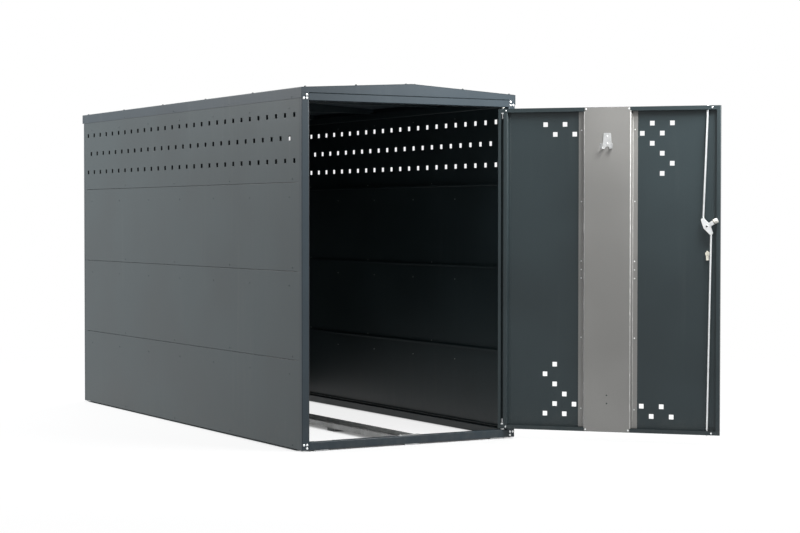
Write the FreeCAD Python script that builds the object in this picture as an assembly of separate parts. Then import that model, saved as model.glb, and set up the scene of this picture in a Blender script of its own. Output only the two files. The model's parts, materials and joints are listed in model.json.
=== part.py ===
"""Bicycle locker of folded sheet steel: frame, wall panels, gable roof, wheel channel and a locking door.

Millimetres. +X is the locker's right-hand (hinge) side, +Y runs from the door to the rear, +Z is up.
The origin is on the ground at the middle of the footprint. The door is drawn shut, with every piece
that it carries, and is then turned open about its hinge pins to the rest position.
"""
import FreeCAD
import Part
import math
import os

V = FreeCAD.Vector

# Overall sizes
WIDTH = 920.0
DEPTH = 2220.0
PAD_HEIGHT = 4.0
FRAME_TOP = 1302.5
EAVE_RISE = 19.5
ROOF_RISE = 26.0

# Frame
FACE = 30.0
FRAME_SHEET = 2.0
BEND = 1.0
RAIL_DEPTH = 30.0
LIP = 12.0
POST_SIDE = 14.0
POST_LEG = 25.0
POST_FLANGE = 30.0
STOP_FLANGE = 12.0
BASE_FLANGE = 50.0
SIDE_RAIL_WIDTH = 15.0
SIDE_RAIL_HEIGHT = 26.0
GUSSET_REACH = 41.0
GUSSET_SHEET = 2.0
TOUCH = 0.2
PAST = 1.0
BAR_PAST = 5.0

# Ground anchors
ANCHOR_SIDE = 80.0
ANCHOR_INSET = 36.0
ANCHOR_HOLE = 6.5
PAD_LENGTH = 60.0
PACKERS = 3

# Wall panels
PANEL_SHEET = 1.25
PANEL_RETURN = 12.0
PANEL_COUNT = 4
SEAM = 1.6
SEAM_HOOK = 5.0
RIB_OVER_RAIL = 7.0
PANEL_START = 5.8
VENT = 17.5
WALL_VENT_PITCH = 75.0
WALL_VENT_END = 60.0
WALL_VENT_ROWS = 3
WALL_VENT_ROW_GAP = 83.6
EDGE_RIVET_START = 77.5
EDGE_RIVET_PITCH = 545.0
EDGE_RIVETS = 4
EDGE_RIVET_IN = 12.5
FACE_RIVET_END = 103.5
FACE_RIVETS = 7
FACE_RIVET_IN = 53.0

# Roof
ROOF_SHEET = 1.5
FASCIA = 39.0
REAR_OVERHANG = 11.0
BEARER_COUNT = 3
BEARER_SHEET = 3.0
BEARER_FLANGE = 18.0
ROOF_SCREW_EDGE = 12.0
ROOF_SCREW_RIDGE = 19.0
ROOF_SCREW_EAVE = 20.0
EAVE_SCREWS = 6

# Wheel channel
CHANNEL_WIDTH = 98.0
CHANNEL_HEIGHT = 20.5
CHANNEL_BOTTOM = 11.0
CHANNEL_SHEET = 2.0
CHANNEL_BRACKET = 2.0
CHANNEL_SCREW_X = 38.0
CHANNEL_SCREW_IN = 8.0
BRACKET_HOOK = 18.0
BRACKET_FOOT = 40.0

# Door leaf
DOOR_SIDE_GAP = 5.0
DOOR_END_GAP = 5.25
DOOR_THICK = 20.0
DOOR_SHEET = 1.5
HINGE_LIP = 12.0
LOCK_LIP = 14.0
END_LIP = 15.0
EDGE_ROUND = 1.8
OPEN_ANGLE = 133.0
SEAL_CLEARANCE = 0.3

# Door vents
VENT_PITCH = 37.75
VENT_COLUMN = 129.2
VENT_FROM_END = 62.2

# Door pivots
HINGE_IN = 16.0
HINGE_BACK = 8.5
PIN_RADIUS = 4.0
PIN_REACH = 11.0
PIN_TAIL = 37.5
PIN_COLLAR = 7.0
PIN_PRESS = 0.05
RUNNING = 0.06
BUSH_WALL = 2.0
BUSH_FLANGE = 1.5
BUSH_TAIL = 2.0
HINGE_BLOCK = (32.0, 15.0, 18.5)

# Door stiffening
HAT_WEB = 176.0
HAT_FOOT = 188.0
HAT_WIDTH = 226.0
HAT_SHEET = 1.5
TAB_IN = 1.0
HAT_RIVET_X = 102.0
HAT_RIVETS_Z = (0.0, 32.3, 258.0, 528.4)
HAT_SCREW_X = 82.0
END_SCREW = 7.7
STILE_SCREW = 31.0
STILE_FACE = 14.0
STILE_FOOT = 10.0
STILE_PIN_GAP = 2.0
LOCK_STRIP = 46.0

# Hook on the stiffener
HOOK_TOP = 98.0
HOOK_HEIGHT = 52.0
HOOK_TOP_WIDTH = 26.0
HOOK_FOOT_WIDTH = 36.0
HOOK_SHEET = 2.0
HOOK_ARM = 8.0
HOOK_ARCH = 9.5
HOOK_DROP = 8.0
HOOK_LIP = 5.0
HOOK_REACH = 29.0
HOOK_TURN_UP = 21.0
HOOK_RISE = 20.0
HOOK_SPLAY = 17.0
HOOK_CORNER = 2.0
HOOK_RIVET_IN = 12.0
HOOK_RIVET_GAP = 27.0
STRAP_HOLES_UP = (108.0, 138.7)
STRAP_HOLE = 3.0

# Lock
LOCK_IN = 48.0
LOCK_UP = 778.4
CYLINDER_DROP = 101.6
ARM_ANGLE = 31.8
PIN_CIRCLE = 28.0
CAM_PIN_LEAD = 90.0
CAM_BACK = 28.0
CAM_SHEET = 4.0
HUB_RADIUS = 14.0
LOBE_RADIUS = 7.5
ARM_WIDTH = 15.0
ROLLER_RADIUS = 9.5
ROLLER_FROM = 28.0
ROLLER_TO = 46.0
ROLLER_AXIS = 34.8
ROLLER_ROUND = 1.2
ROLLER_PLAY = 0.15
STUD_RADIUS = 4.0
STUD_CHEEK = 9.0
STUD_CAP = 1.05
STUD_CAP_RIM = 2.0
SPINDLE_RADIUS = 6.0
SPINDLE_NOSE = 4.0
SPINDLE_BUSH = 9.0
BUSH_INSET = 1.0
SPINDLE_FLANGE = 13.0
SPINDLE_FLANGE_THICK = 5.0
CAM_SCREW_HEAD = 4.0
CAM_SCREW_FLOOR = 1.5
CAM_SCREW_SOCKET = 2.6

# Locking rods
ROD_RADIUS = 4.0
ROD_EYE = 7.5
ROD_EYE_THICK = 5.0
ROD_NECK = 2.4
ROD_NECK_LENGTH = 4.0
ROD_PIN = 3.0
ROD_PIN_HEAD = 1.5
ROD_PIN_RIM = 2.0
ROD_END_PLAY = 0.3
ROD_CAM_V = 24.5
ROD_END_V = 10.5
ROD_TIP = 4.25
ROD_TAPER = 3.0
ROD_STRAIGHT = 34.0
GUIDE_LENGTH = 13.0
GUIDE_WIDTH = 34.0
GUIDE_SLOT = 19.0
GUIDE_GAP = 0.5
EDGE_SLOT_GAP = 0.8
KEEPER_SLOT = 24.0
KEEPER_GAP = 1.5
KEEPER_NOTCH = 77.0
KEEPER_NOTCH_DEPTH = 8.0
KEEPER_NOTCH_IN = 70.0

# Outside handle
PLATE_WIDTH = 36.0
PLATE_ABOVE = 30.0
PLATE_BELOW = 160.0
PLATE_THICK = 6.0
PLATE_ROUND = 1.5
HUB_DISC = 16.0
HUB_THICK = 3.7
LEVER_GAP = 0.3
LEVER_LENGTH = 128.0
LEVER_RADIUS = 10.0
LEVER_STAND = 52.0
LEVER_BEND = 20.0
NECK_REACH = 20.0
NECK_PIN = 2.0
CYLINDER_ROUND = 8.5
CYLINDER_STEM = 5.0
CYLINDER_HEIGHT = 33.0
CYLINDER_INNER = 14.0
CYLINDER_FIT = 0.2
PLUG_RADIUS = 6.0
PLUG_PROUD = 0.4
TAIL = (6.0, 2.0, 14.0)
KEYWAY = (1.6, 7.0, 8.0)

# Fasteners
SCREW_HEAD = 4.6
SCREW_DOME = 2.4
SCREW_SHANK = 2.4
RIVET_HEAD = 3.4
RIVET_HIGH = 1.3
RIVET_CROWN = 0.65
RIVET_SHANK = 1.6
FOOT_RIVET_HEAD = 2.5
HOOK_RIVET_HEAD = 3.0
CORNER_SCREW_EDGE = 8.3
CORNER_SCREW_PITCH = 12.4

# Places worked out from the sizes above
EAVE_TOP = FRAME_TOP + EAVE_RISE
RIDGE_TOP = EAVE_TOP + ROOF_RISE
HALF = WIDTH / 2
FRONT = -DEPTH / 2
REAR = DEPTH / 2
INNER_X = HALF - FACE
SILL_TOP = PAD_HEIGHT + FACE
HEADER_LOW = FRAME_TOP - FACE
SKIN_X = HALF - PANEL_SHEET
DOOR_WIDTH = 2 * (INNER_X - DOOR_SIDE_GAP)
DOOR_LOW = SILL_TOP + DOOR_END_GAP
DOOR_HIGH = HEADER_LOW - DOOR_END_GAP
DOOR_EDGE_X = INNER_X - DOOR_SIDE_GAP
DOOR_MID_U = DOOR_WIDTH / 2
DOOR_MID_Z = (DOOR_LOW + DOOR_HIGH) / 2
HINGE_X = DOOR_EDGE_X - HINGE_IN
HINGE_Y = FRONT + HINGE_BACK
LOCK_U = DOOR_WIDTH - LOCK_IN
LOCK_Z = DOOR_LOW + LOCK_UP
CYLINDER_Z = LOCK_Z - CYLINDER_DROP
KEEPER_NOTCH_X = KEEPER_NOTCH_IN - INNER_X
ANCHOR_X = HALF - ANCHOR_SIDE
SLOPE = ROOF_RISE / HALF
ROOF_SCREW_X = (ROOF_SCREW_RIDGE, HALF / 2, HALF - ROOF_SCREW_EAVE)
WEB_V = DOOR_THICK + HAT_SHEET


# Solids and outlines

def box(x0, x1, y0, y1, z0, z1):
    """A block between two corners, given in any order."""
    low = V(min(x0, x1), min(y0, y1), min(z0, z1))
    return Part.makeBox(abs(x1 - x0), abs(y1 - y0), abs(z1 - z0), low)


def rod(start, end, radius):
    """A round bar between two points."""
    way = end - start
    return Part.makeCylinder(radius, way.Length, start, way)


def dome(base, out, radius, height):
    """A domed fastener head: a slice of a sphere that stands on base."""
    ball_radius = (radius * radius + height * height) / (2 * height)
    out = V(out).normalize()
    centre = base + out * (height - ball_radius)
    ball = Part.makeSphere(ball_radius, centre)
    collar = Part.makeCylinder(radius, height + PAST, base, out)
    return ball.common(collar)


def rivet_head(base, out, radius):
    """A low rivet head with a flat crown and a sloping rim."""
    return Part.makeCone(radius, radius * RIVET_CROWN, RIVET_HIGH, base, V(out))


def shank(base, out, radius, length):
    out = V(out).normalize()
    return Part.makeCylinder(radius, length, base - out * length, out)


def screw(base, out, length):
    """A domed screw head on base with a shank that runs into the work."""
    head = dome(base, out, SCREW_HEAD, SCREW_DOME)
    return head.fuse(shank(base, out, SCREW_SHANK, length)).removeSplitter()


def rivet(base, out, length):
    return rivet_head(base, out, RIVET_HEAD).fuse(shank(base, out, RIVET_SHANK, length)).removeSplitter()


def drill(shape, bases, out, radius, length):
    """Holes for the shanks of fasteners that stand on the given bases."""
    out = V(out).normalize()
    tools = [shank(base + out * PAST, out, radius + RUNNING, length + 2 * PAST) for base in bases]
    return shape.cut(Part.makeCompound(tools))


def outline(points):
    """A closed wire through (a, b, radius) points in the XY plane, with its corners rounded by arcs."""
    count = len(points)
    starts, ends, middles = [], [], []
    for index, (a, b, radius) in enumerate(points):
        here = V(a, b, 0)
        before = V(*points[index - 1][:2], 0) - here
        after = V(*points[(index + 1) % count][:2], 0) - here
        before.normalize()
        after.normalize()
        if radius <= 0:
            starts.append(here)
            ends.append(here)
            middles.append(None)
            continue
        half = before.getAngle(after) / 2
        cut = radius / math.tan(half)
        inward = (before + after).normalize()
        centre = here + inward * (radius / math.sin(half))
        starts.append(here + before * cut)
        ends.append(here + after * cut)
        middles.append(centre - inward * radius)
    edges = []
    for index in range(count):
        if middles[index] is not None:
            edges.append(Part.Arc(starts[index], middles[index], ends[index]).toShape())
        following = (index + 1) % count
        if (starts[following] - ends[index]).Length > 1e-6:
            edges.append(Part.LineSegment(ends[index], starts[following]).toShape())
    return Part.Wire(edges)


def folded(path, thickness, bend=BEND):
    """The outline of a folded sheet: path is one face of it, and the sheet lies to the left of the path."""
    count = len(path)
    normals = []
    for (a0, b0), (a1, b1) in zip(path, path[1:]):
        length = math.hypot(a1 - a0, b1 - b0)
        normals.append((-(b1 - b0) / length, (a1 - a0) / length))
    near, far = [], []
    for index, (a, b) in enumerate(path):
        first = normals[max(index - 1, 0)]
        second = normals[min(index, count - 2)]
        share = 1 + first[0] * second[0] + first[1] * second[1]
        shift = ((first[0] + second[0]) / share * thickness, (first[1] + second[1]) / share * thickness)
        turn = first[0] * second[1] - first[1] * second[0]
        near_round = far_round = 0.0
        if 0 < index < count - 1:
            near_round = bend + thickness if turn > 0 else bend
            far_round = bend if turn > 0 else bend + thickness
        near.append((a, b, near_round))
        far.append((a + shift[0], b + shift[1], far_round))
    return outline(near + far[::-1])


def along_z(wire, low, high):
    """Extrude an XY outline upwards."""
    face = Part.Face(wire)
    face.translate(V(0, 0, low))
    return face.extrude(V(0, 0, high - low))


def along_y(wire, low, high):
    """Extrude an outline whose coordinates are (x, z) along +Y."""
    face = Part.Face(wire)
    face.rotate(V(), V(1, 0, 0), 90)
    face.translate(V(0, low, 0))
    return face.extrude(V(0, high - low, 0))


def along_x(wire, low, high):
    """Extrude an outline whose coordinates are (y, z) along +X."""
    face = Part.Face(wire)
    face.rotate(V(), V(1, 1, 1), 120)
    face.translate(V(low, 0, 0))
    return face.extrude(V(high - low, 0, 0))


def mirror_x(shape):
    """The same piece on the other side of the locker."""
    return shape.mirror(V(), V(1, 0, 0))


def mirror_y(shape):
    """The same piece at the other end of the locker."""
    return shape.mirror(V(), V(0, 1, 0))


# Places on the shut door: u from the hinge edge, v into the locker from the outer face, z up

def at_door(u, v, z):
    return V(DOOR_EDGE_X - u, FRONT + v, z)


def door_box(u0, u1, v0, v1, z0, z1):
    return box(DOOR_EDGE_X - u0, DOOR_EDGE_X - u1, FRONT + v0, FRONT + v1, z0, z1)


def door_plate(points, v0, v1):
    """A plate on the door whose outline is (u, z, radius) points."""
    wire = outline([(DOOR_EDGE_X - u, z, radius) for u, z, radius in points])
    return along_y(wire, FRONT + v0, FRONT + v1)


def door_disc(u, z, v0, v1, radius):
    return rod(at_door(u, v0, z), at_door(u, v1, z), radius)


INTO_LOCKER = V(0, 1, 0)
UP = V(0, 0, 1)


# Frame

def front_screw_places():
    """Three screws at each corner of the front frame; the outermost place of the square stays empty."""
    near, far = CORNER_SCREW_EDGE, CORNER_SCREW_EDGE + CORNER_SCREW_PITCH
    places = []
    for side in (-1, 1):
        for x_in, z_in in ((near, far), (far, far), (far, near)):
            places.append(V(side * (HALF - x_in), FRONT, PAD_HEIGHT + z_in))
            places.append(V(side * (HALF - x_in), FRONT, FRAME_TOP - z_in))
    return places


def post(side, stop):
    """A front post: face, side, joggled side flange and inner leg, with a stop flange where stop is true."""
    joggle = FRONT + POST_SIDE - TOUCH
    path = [(-HALF, joggle), (-HALF, FRONT), (-INNER_X, FRONT)]
    if stop:
        turn = FRONT + POST_LEG - FRAME_SHEET
        path += [(-INNER_X, turn), (-INNER_X + STOP_FLANGE, turn)]
    else:
        path.append((-INNER_X, FRONT + POST_LEG))
    shell = along_z(folded(path, FRAME_SHEET), PAD_HEIGHT, FRAME_TOP)
    flange_in = -SKIN_X + FRAME_SHEET
    step_front = joggle - FRAME_SHEET
    flange = box(-SKIN_X, flange_in, step_front, FRONT + POST_SIDE + POST_FLANGE, PAD_HEIGHT, FRAME_TOP)
    step = box(-HALF, flange_in, step_front, joggle, PAD_HEIGHT, FRAME_TOP)
    body = shell.fuse([flange, step]).removeSplitter()
    leg_out = -INNER_X - FRAME_SHEET - BEND - TOUCH
    leg_in = -INNER_X + STOP_FLANGE + PAST
    ends = [box(leg_out, leg_in, FRONT + FRAME_SHEET, FRONT + POST_LEG + PAST, low, high)
            for low, high in ((0, SILL_TOP + TOUCH), (HEADER_LOW - TOUCH, FRAME_TOP + PAST))]
    body = body.cut(Part.makeCompound(ends))
    return mirror_x(body) if side > 0 else body


def front_post(side):
    places = [p for p in front_screw_places() if p.x * side > 0]
    return drill(post(side, side < 0), places, V(0, -1, 0), SCREW_SHANK, FRAME_SHEET)


def rear_post(side):
    """A rear post is a front post without a stop flange, turned end for end."""
    return mirror_y(post(side, False))


def anchor_holes(low, high):
    """The four ground anchor holes as cutting tools."""
    tools = []
    for x in (-ANCHOR_X, ANCHOR_X):
        for y in (FRONT + ANCHOR_INSET, REAR - ANCHOR_INSET):
            tools.append(rod(V(x, y, low), V(x, y, high), ANCHOR_HOLE))
    return Part.makeCompound(tools)


def sill_bar():
    """The front sill's section, from the base flange round to the rear lip of the top face."""
    path = [
        (FRONT + BASE_FLANGE, PAD_HEIGHT),
        (FRONT, PAD_HEIGHT),
        (FRONT, SILL_TOP),
        (FRONT + RAIL_DEPTH, SILL_TOP),
        (FRONT + RAIL_DEPTH, SILL_TOP - LIP),
    ]
    wire = folded([(a, b) for a, b in path[::-1]], FRAME_SHEET)
    return along_x(wire, -INNER_X, INNER_X)


def header_bar():
    path = [
        (FRONT + RAIL_DEPTH, HEADER_LOW + LIP),
        (FRONT + RAIL_DEPTH, HEADER_LOW),
        (FRONT, HEADER_LOW),
        (FRONT, FRAME_TOP),
        (FRONT + RAIL_DEPTH, FRAME_TOP),
        (FRONT + RAIL_DEPTH, FRAME_TOP - LIP),
    ]
    wire = folded([(a, b) for a, b in path[::-1]], FRAME_SHEET)
    return along_x(wire, -INNER_X, INNER_X)


def keeper_slot(z0, z1):
    """The slot that a locking rod's tip enters when the door is shut and locked."""
    half, deep = KEEPER_SLOT / 2, ROD_RADIUS + KEEPER_GAP
    return door_box(LOCK_U - half, LOCK_U + half, ROD_END_V - deep, ROD_END_V + deep, z0, z1)


def bush_hole(face):
    """The hole through a bar's face at this height that a hinge bush fits."""
    radius = PIN_RADIUS + RUNNING + BUSH_WALL
    return rod(V(HINGE_X, HINGE_Y, face - BAR_PAST), V(HINGE_X, HINGE_Y, face + BAR_PAST), radius)


def front_sill():
    bar = sill_bar()
    half, back = KEEPER_NOTCH / 2, FRONT + RAIL_DEPTH
    notch = box(KEEPER_NOTCH_X - half, KEEPER_NOTCH_X + half, back - KEEPER_NOTCH_DEPTH, back + PAST,
                SILL_TOP - LIP - PAST, SILL_TOP + PAST)
    slot = keeper_slot(SILL_TOP - BAR_PAST, SILL_TOP + BAR_PAST)
    bar = bar.cut(Part.makeCompound([notch, bush_hole(SILL_TOP), slot, anchor_holes(0, SILL_TOP / 2)]))
    return drill(bar, channel_screw_places(), UP, SCREW_SHANK, CHANNEL_BRACKET + FRAME_SHEET + PAST)


def front_header():
    slot = keeper_slot(HEADER_LOW - BAR_PAST, HEADER_LOW + BAR_PAST)
    return header_bar().cut(Part.makeCompound([bush_hole(HEADER_LOW), slot]))


def rear_sill():
    bar = mirror_y(sill_bar()).cut(anchor_holes(0, SILL_TOP / 2))
    places = [V(p.x, -p.y, p.z) for p in channel_screw_places()]
    return drill(bar, places, UP, SCREW_SHANK, CHANNEL_BRACKET + FRAME_SHEET + PAST)


def rear_header():
    return mirror_y(header_bar())


def corner_gussets():
    """Plates behind the corners of the front frame; the corner screws hold post and bar to them."""
    plates = []
    inset = FRAME_SHEET + BEND + TOUCH
    for side in (-1, 1):
        for low, high in ((PAD_HEIGHT, SILL_TOP), (HEADER_LOW, FRAME_TOP)):
            plates.append(box(side * (HALF - inset), side * (HALF - GUSSET_REACH), FRONT + FRAME_SHEET,
                              FRONT + FRAME_SHEET + GUSSET_SHEET, low + inset, high - inset))
    return drill(Part.makeCompound(plates), front_screw_places(), V(0, -1, 0), SCREW_SHANK,
                 FRAME_SHEET + GUSSET_SHEET)


def side_rail(side, low, high):
    """A C-shaped rail along the foot or the head of a side wall, open towards the wall's skin."""
    outer = SKIN_X - TOUCH
    inner = SKIN_X - SIDE_RAIL_WIDTH
    path = [(outer, high), (inner, high), (inner, low), (outer, low)]
    wire = folded(path, FRAME_SHEET)
    start = FRONT + POST_SIDE + POST_FLANGE + TOUCH
    rail = along_y(wire, start, -start)
    return mirror_x(rail) if side < 0 else rail


def base_pads():
    """Packers on the ground: under the anchors and the middles of the sills, and under the wheel channel."""
    pads = []
    for x in (-ANCHOR_X, 0, ANCHOR_X):
        for y0, y1 in ((FRONT, FRONT + BASE_FLANGE), (REAR - BASE_FLANGE, REAR)):
            pads.append(box(x - PAD_LENGTH / 2, x + PAD_LENGTH / 2, y0, y1, 0, PAD_HEIGHT))
    pads = [pad.cut(anchor_holes(-PAST, PAD_HEIGHT + PAST)) for pad in pads]
    half = CHANNEL_WIDTH / 2
    for index in range(PACKERS):
        y = DEPTH * (index - (PACKERS - 1) / 2) / (PACKERS + 1)
        pads.append(box(-half, half, y - PAD_LENGTH / 2, y + PAD_LENGTH / 2, 0, CHANNEL_BOTTOM))
    return Part.makeCompound([solid for pad in pads for solid in pad.Solids])


# Wall panels

def side_panel(side, index):
    """One horizontal cassette of a side wall, counted from the ground. The top one carries the vents.

    Its upper return is turned up behind the seam, and the lowest one has a rib above the bottom rail.
    """
    pitch = (FRAME_TOP - PANEL_START) / PANEL_COUNT
    low = PANEL_START + pitch * index + (SEAM / 2 if index else 0)
    high = PANEL_START + pitch * (index + 1) - (SEAM / 2 if index < PANEL_COUNT - 1 else 0)
    skin_in = SKIN_X
    end = REAR - POST_SIDE - SEAM / 2
    panel = box(skin_in, HALF, -end, end, low, high)
    flange_in = skin_in - PANEL_RETURN
    hook_in = flange_in - TOUCH - PANEL_SHEET
    start = FRONT + POST_SIDE + POST_FLANGE + TOUCH
    rib = low if index else PAD_HEIGHT + SIDE_RAIL_HEIGHT + RIB_OVER_RAIL
    returns = [box(flange_in, skin_in, start, -start, rib, rib + PANEL_SHEET)]
    if index < PANEL_COUNT - 1:
        upper = high - PANEL_SHEET
        returns.append(box(hook_in, skin_in, start, -start, upper, high))
        returns.append(box(hook_in, hook_in + PANEL_SHEET, start, -start, upper, high + SEAM_HOOK))
    panel = panel.fuse(returns).removeSplitter()
    if index == PANEL_COUNT - 1:
        middle, half = (low + high) / 2, VENT / 2
        full_row = int((DEPTH - 2 * WALL_VENT_END) / WALL_VENT_PITCH) + 1
        vents = []
        for row in range(WALL_VENT_ROWS):
            count = full_row - row % 2
            z = middle + ((WALL_VENT_ROWS - 1) / 2 - row) * WALL_VENT_ROW_GAP
            for number in range(count):
                y = (number - (count - 1) / 2) * WALL_VENT_PITCH
                vents.append(box(skin_in - PAST, HALF + PAST, y - half, y + half, z - half, z + half))
        panel = panel.cut(Part.makeCompound(vents))
    return mirror_x(panel) if side < 0 else panel


def rear_panel(index):
    """One cassette of the rear wall: a skin with returns on all four sides, set between the rear posts.

    A strip along the upper return stands behind the seam.
    """
    pitch = (HEADER_LOW - SILL_TOP) / PANEL_COUNT
    gap = SEAM / 2
    low = SILL_TOP + pitch * index + (gap if index else TOUCH)
    high = SILL_TOP + pitch * (index + 1) - (gap if index < PANEL_COUNT - 1 else TOUCH)
    edge = INNER_X - TOUCH
    block = box(-edge, edge, REAR - PANEL_RETURN, REAR, low, high)
    hollow = box(-edge + PANEL_SHEET, edge - PANEL_SHEET, REAR - PANEL_RETURN - PAST, REAR - PANEL_SHEET,
                 low + PANEL_SHEET, high - PANEL_SHEET)
    panel = block.cut(hollow)
    if index < PANEL_COUNT - 1:
        strip_y = REAR - PANEL_RETURN
        inner = strip_y - TOUCH
        strip = box(-edge, edge, inner - PANEL_SHEET, inner, high - PANEL_SHEET, high + SEAM_HOOK)
        foot = box(-edge, edge, inner, strip_y, high - PANEL_SHEET, high)
        panel = panel.fuse([strip, foot]).removeSplitter()
    return panel


def panel_rivet_places():
    """Rivets of one side wall as (y, z): a row beside each long edge and a row further in on each panel."""
    pitch = (FRAME_TOP - PANEL_START) / PANEL_COUNT
    edge_row = [FRONT + EDGE_RIVET_START + EDGE_RIVET_PITCH * number for number in range(EDGE_RIVETS)]
    span = DEPTH - 2 * FACE_RIVET_END
    face_row = [span * (number / (FACE_RIVETS - 1) - 1 / 2) for number in range(FACE_RIVETS)]
    places = []
    for index in range(PANEL_COUNT):
        low = PANEL_START + pitch * index
        high = low + pitch
        places += [(y, low + EDGE_RIVET_IN) for y in edge_row]
        if index == PANEL_COUNT - 1:
            places += [(y, high - EDGE_RIVET_IN) for y in edge_row]
        places += [(y, high - FACE_RIVET_IN) for y in face_row]
    return places


def panel_rivets():
    """Rivet heads on the side walls; those of the top row sit on the roof's fascia."""
    heads = []
    for y, z in panel_rivet_places():
        face = HALF + ROOF_SHEET if z > EAVE_TOP - FASCIA else HALF
        for side in (-1, 1):
            heads.append(rivet_head(V(side * face, y, z), V(side, 0, 0), RIVET_HEAD))
    return Part.makeCompound(heads)


# Roof

def roof_z(x):
    """Height of the roof's upper face."""
    return RIDGE_TOP - SLOPE * abs(x)


def roof_sheet(side):
    """Half of the roof: a sloping sheet that turns down into the eave fascia, outside the wall."""
    outer = HALF + ROOF_SHEET
    path = [(outer, EAVE_TOP - FASCIA), (outer, roof_z(outer)), (TOUCH, roof_z(TOUCH))]
    wire = folded(path, ROOF_SHEET)
    sheet = along_y(wire, FRONT, REAR + REAR_OVERHANG)
    sheet = drill(sheet, roof_screw_places(1), roof_normal(1), SCREW_SHANK, ROOF_SHEET + PAST)
    return mirror_x(sheet) if side < 0 else sheet


def roof_normal(side):
    return V(side * SLOPE, 0, 1).normalize()


def roof_screw_places(side):
    """Screws of one half of the roof: along both ends and along the eave."""
    span = DEPTH - 2 * ROOF_SCREW_EDGE
    places = []
    for x in ROOF_SCREW_X:
        count = EAVE_SCREWS if x == max(ROOF_SCREW_X) else 2
        for index in range(count):
            y = FRONT + ROOF_SCREW_EDGE + span * index / (count - 1)
            places.append(V(side * x, y, roof_z(x)))
    return places


def roof_screws():
    return Part.makeCompound([screw(p, roof_normal(side), ROOF_SHEET)
                              for side in (-1, 1) for p in roof_screw_places(side)])


def gable(low, depth_in, sheet):
    """A low triangle under the roof, from one wall to the other."""
    top = ROOF_SHEET / math.cos(math.atan(SLOPE)) + TOUCH
    corner = BEND + TOUCH
    points = [(-HALF, low, 0), (HALF, low, 0), (HALF, roof_z(HALF) - top, corner), (0, RIDGE_TOP - top, 0),
              (-HALF, roof_z(HALF) - top, corner)]
    plate = along_y(outline(points), FRONT, FRONT + sheet)
    foot = box(-HALF + FACE, HALF - FACE, FRONT, FRONT + depth_in, low, low + sheet)
    return plate.fuse(foot).removeSplitter()


def gable_front():
    return gable(FRAME_TOP, RAIL_DEPTH / 2, FRAME_SHEET)


def gable_rear():
    return mirror_y(gable_front())


def roof_bearers():
    """Folded ribs across the locker that carry the roof sheets between the gables."""
    top = ROOF_SHEET / math.cos(math.atan(SLOPE)) + TOUCH
    edge = SKIN_X - TOUCH
    bearers = []
    for index in range(BEARER_COUNT):
        y = DEPTH * (index - (BEARER_COUNT - 1) / 2) / (BEARER_COUNT + 1)
        points = [(-edge, FRAME_TOP, 0), (edge, FRAME_TOP, 0), (edge, roof_z(edge) - top, 0),
                  (0, RIDGE_TOP - top, 0), (-edge, roof_z(edge) - top, 0)]
        web = along_y(outline(points), y, y + BEARER_SHEET)
        flange = box(-edge, edge, y, y + BEARER_FLANGE, FRAME_TOP, FRAME_TOP + BEARER_SHEET)
        bearers.append(web.fuse(flange).removeSplitter())
    return Part.makeCompound([solid for bearer in bearers for solid in bearer.Solids])


# Wheel channel

def channel_screw_places():
    """The two screws on the front sill that hold the channel's bracket."""
    y = FRONT + RAIL_DEPTH - CHANNEL_SCREW_IN
    return [V(x, y, SILL_TOP + CHANNEL_BRACKET) for x in (-CHANNEL_SCREW_X, CHANNEL_SCREW_X)]


def wheel_channel():
    """The trough that the wheels stand in, from sill to sill: a floor strip between two edge strips."""
    half = CHANNEL_WIDTH / 2
    start = FRONT + RAIL_DEPTH + CHANNEL_BRACKET + BEND + TOUCH
    strips = [box(-half + CHANNEL_SHEET, half - CHANNEL_SHEET, start, -start, CHANNEL_BOTTOM,
                  CHANNEL_BOTTOM + CHANNEL_SHEET)]
    for side in (-1, 1):
        strips.append(box(side * half, side * (half - CHANNEL_SHEET), start, -start, CHANNEL_BOTTOM,
                          CHANNEL_BOTTOM + CHANNEL_HEIGHT))
    return Part.makeCompound(strips)


def channel_bracket():
    """A folded plate that hooks over the sill and carries the end of the channel."""
    half = CHANNEL_WIDTH / 2
    back = FRONT + RAIL_DEPTH + CHANNEL_BRACKET
    top = SILL_TOP + CHANNEL_BRACKET
    path = [(back + BRACKET_FOOT, CHANNEL_BOTTOM), (back, CHANNEL_BOTTOM), (back, top),
            (back - BRACKET_HOOK, top)]
    bracket = along_x(folded(path, CHANNEL_BRACKET), -half, half)
    return drill(bracket, channel_screw_places(), UP, SCREW_SHANK, CHANNEL_BRACKET)


def channel_brackets():
    bracket = channel_bracket()
    return Part.makeCompound([bracket, mirror_y(bracket)])


def frame_screws():
    """The bright domed screws of the front corners and of the channel's brackets."""
    screws = [screw(p, V(0, -1, 0), FRAME_SHEET + GUSSET_SHEET) for p in front_screw_places()]
    for place in channel_screw_places():
        for p in (place, V(place.x, -place.y, place.z)):
            screws.append(screw(p, UP, CHANNEL_BRACKET + FRAME_SHEET))
    return Part.makeCompound(screws)


# Door seat

def hinge_bushes():
    """Flanged bushes in the sill and the header that the door's pins turn in."""
    bushes = []
    for face, way in ((SILL_TOP, 1), (HEADER_LOW, -1)):
        seat = V(HINGE_X, HINGE_Y, face)
        sleeve = rod(seat - UP * way * (FRAME_SHEET + BUSH_TAIL), seat, PIN_RADIUS + RUNNING + BUSH_WALL)
        flange = rod(seat, seat + UP * way * BUSH_FLANGE, PIN_RADIUS + RUNNING + 2 * BUSH_WALL)
        bore = rod(seat - UP * 2 * BAR_PAST, seat + UP * 2 * BAR_PAST, PIN_RADIUS + RUNNING)
        bushes.append(sleeve.fuse(flange).removeSplitter().cut(bore))
    return Part.makeCompound(bushes)


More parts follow.
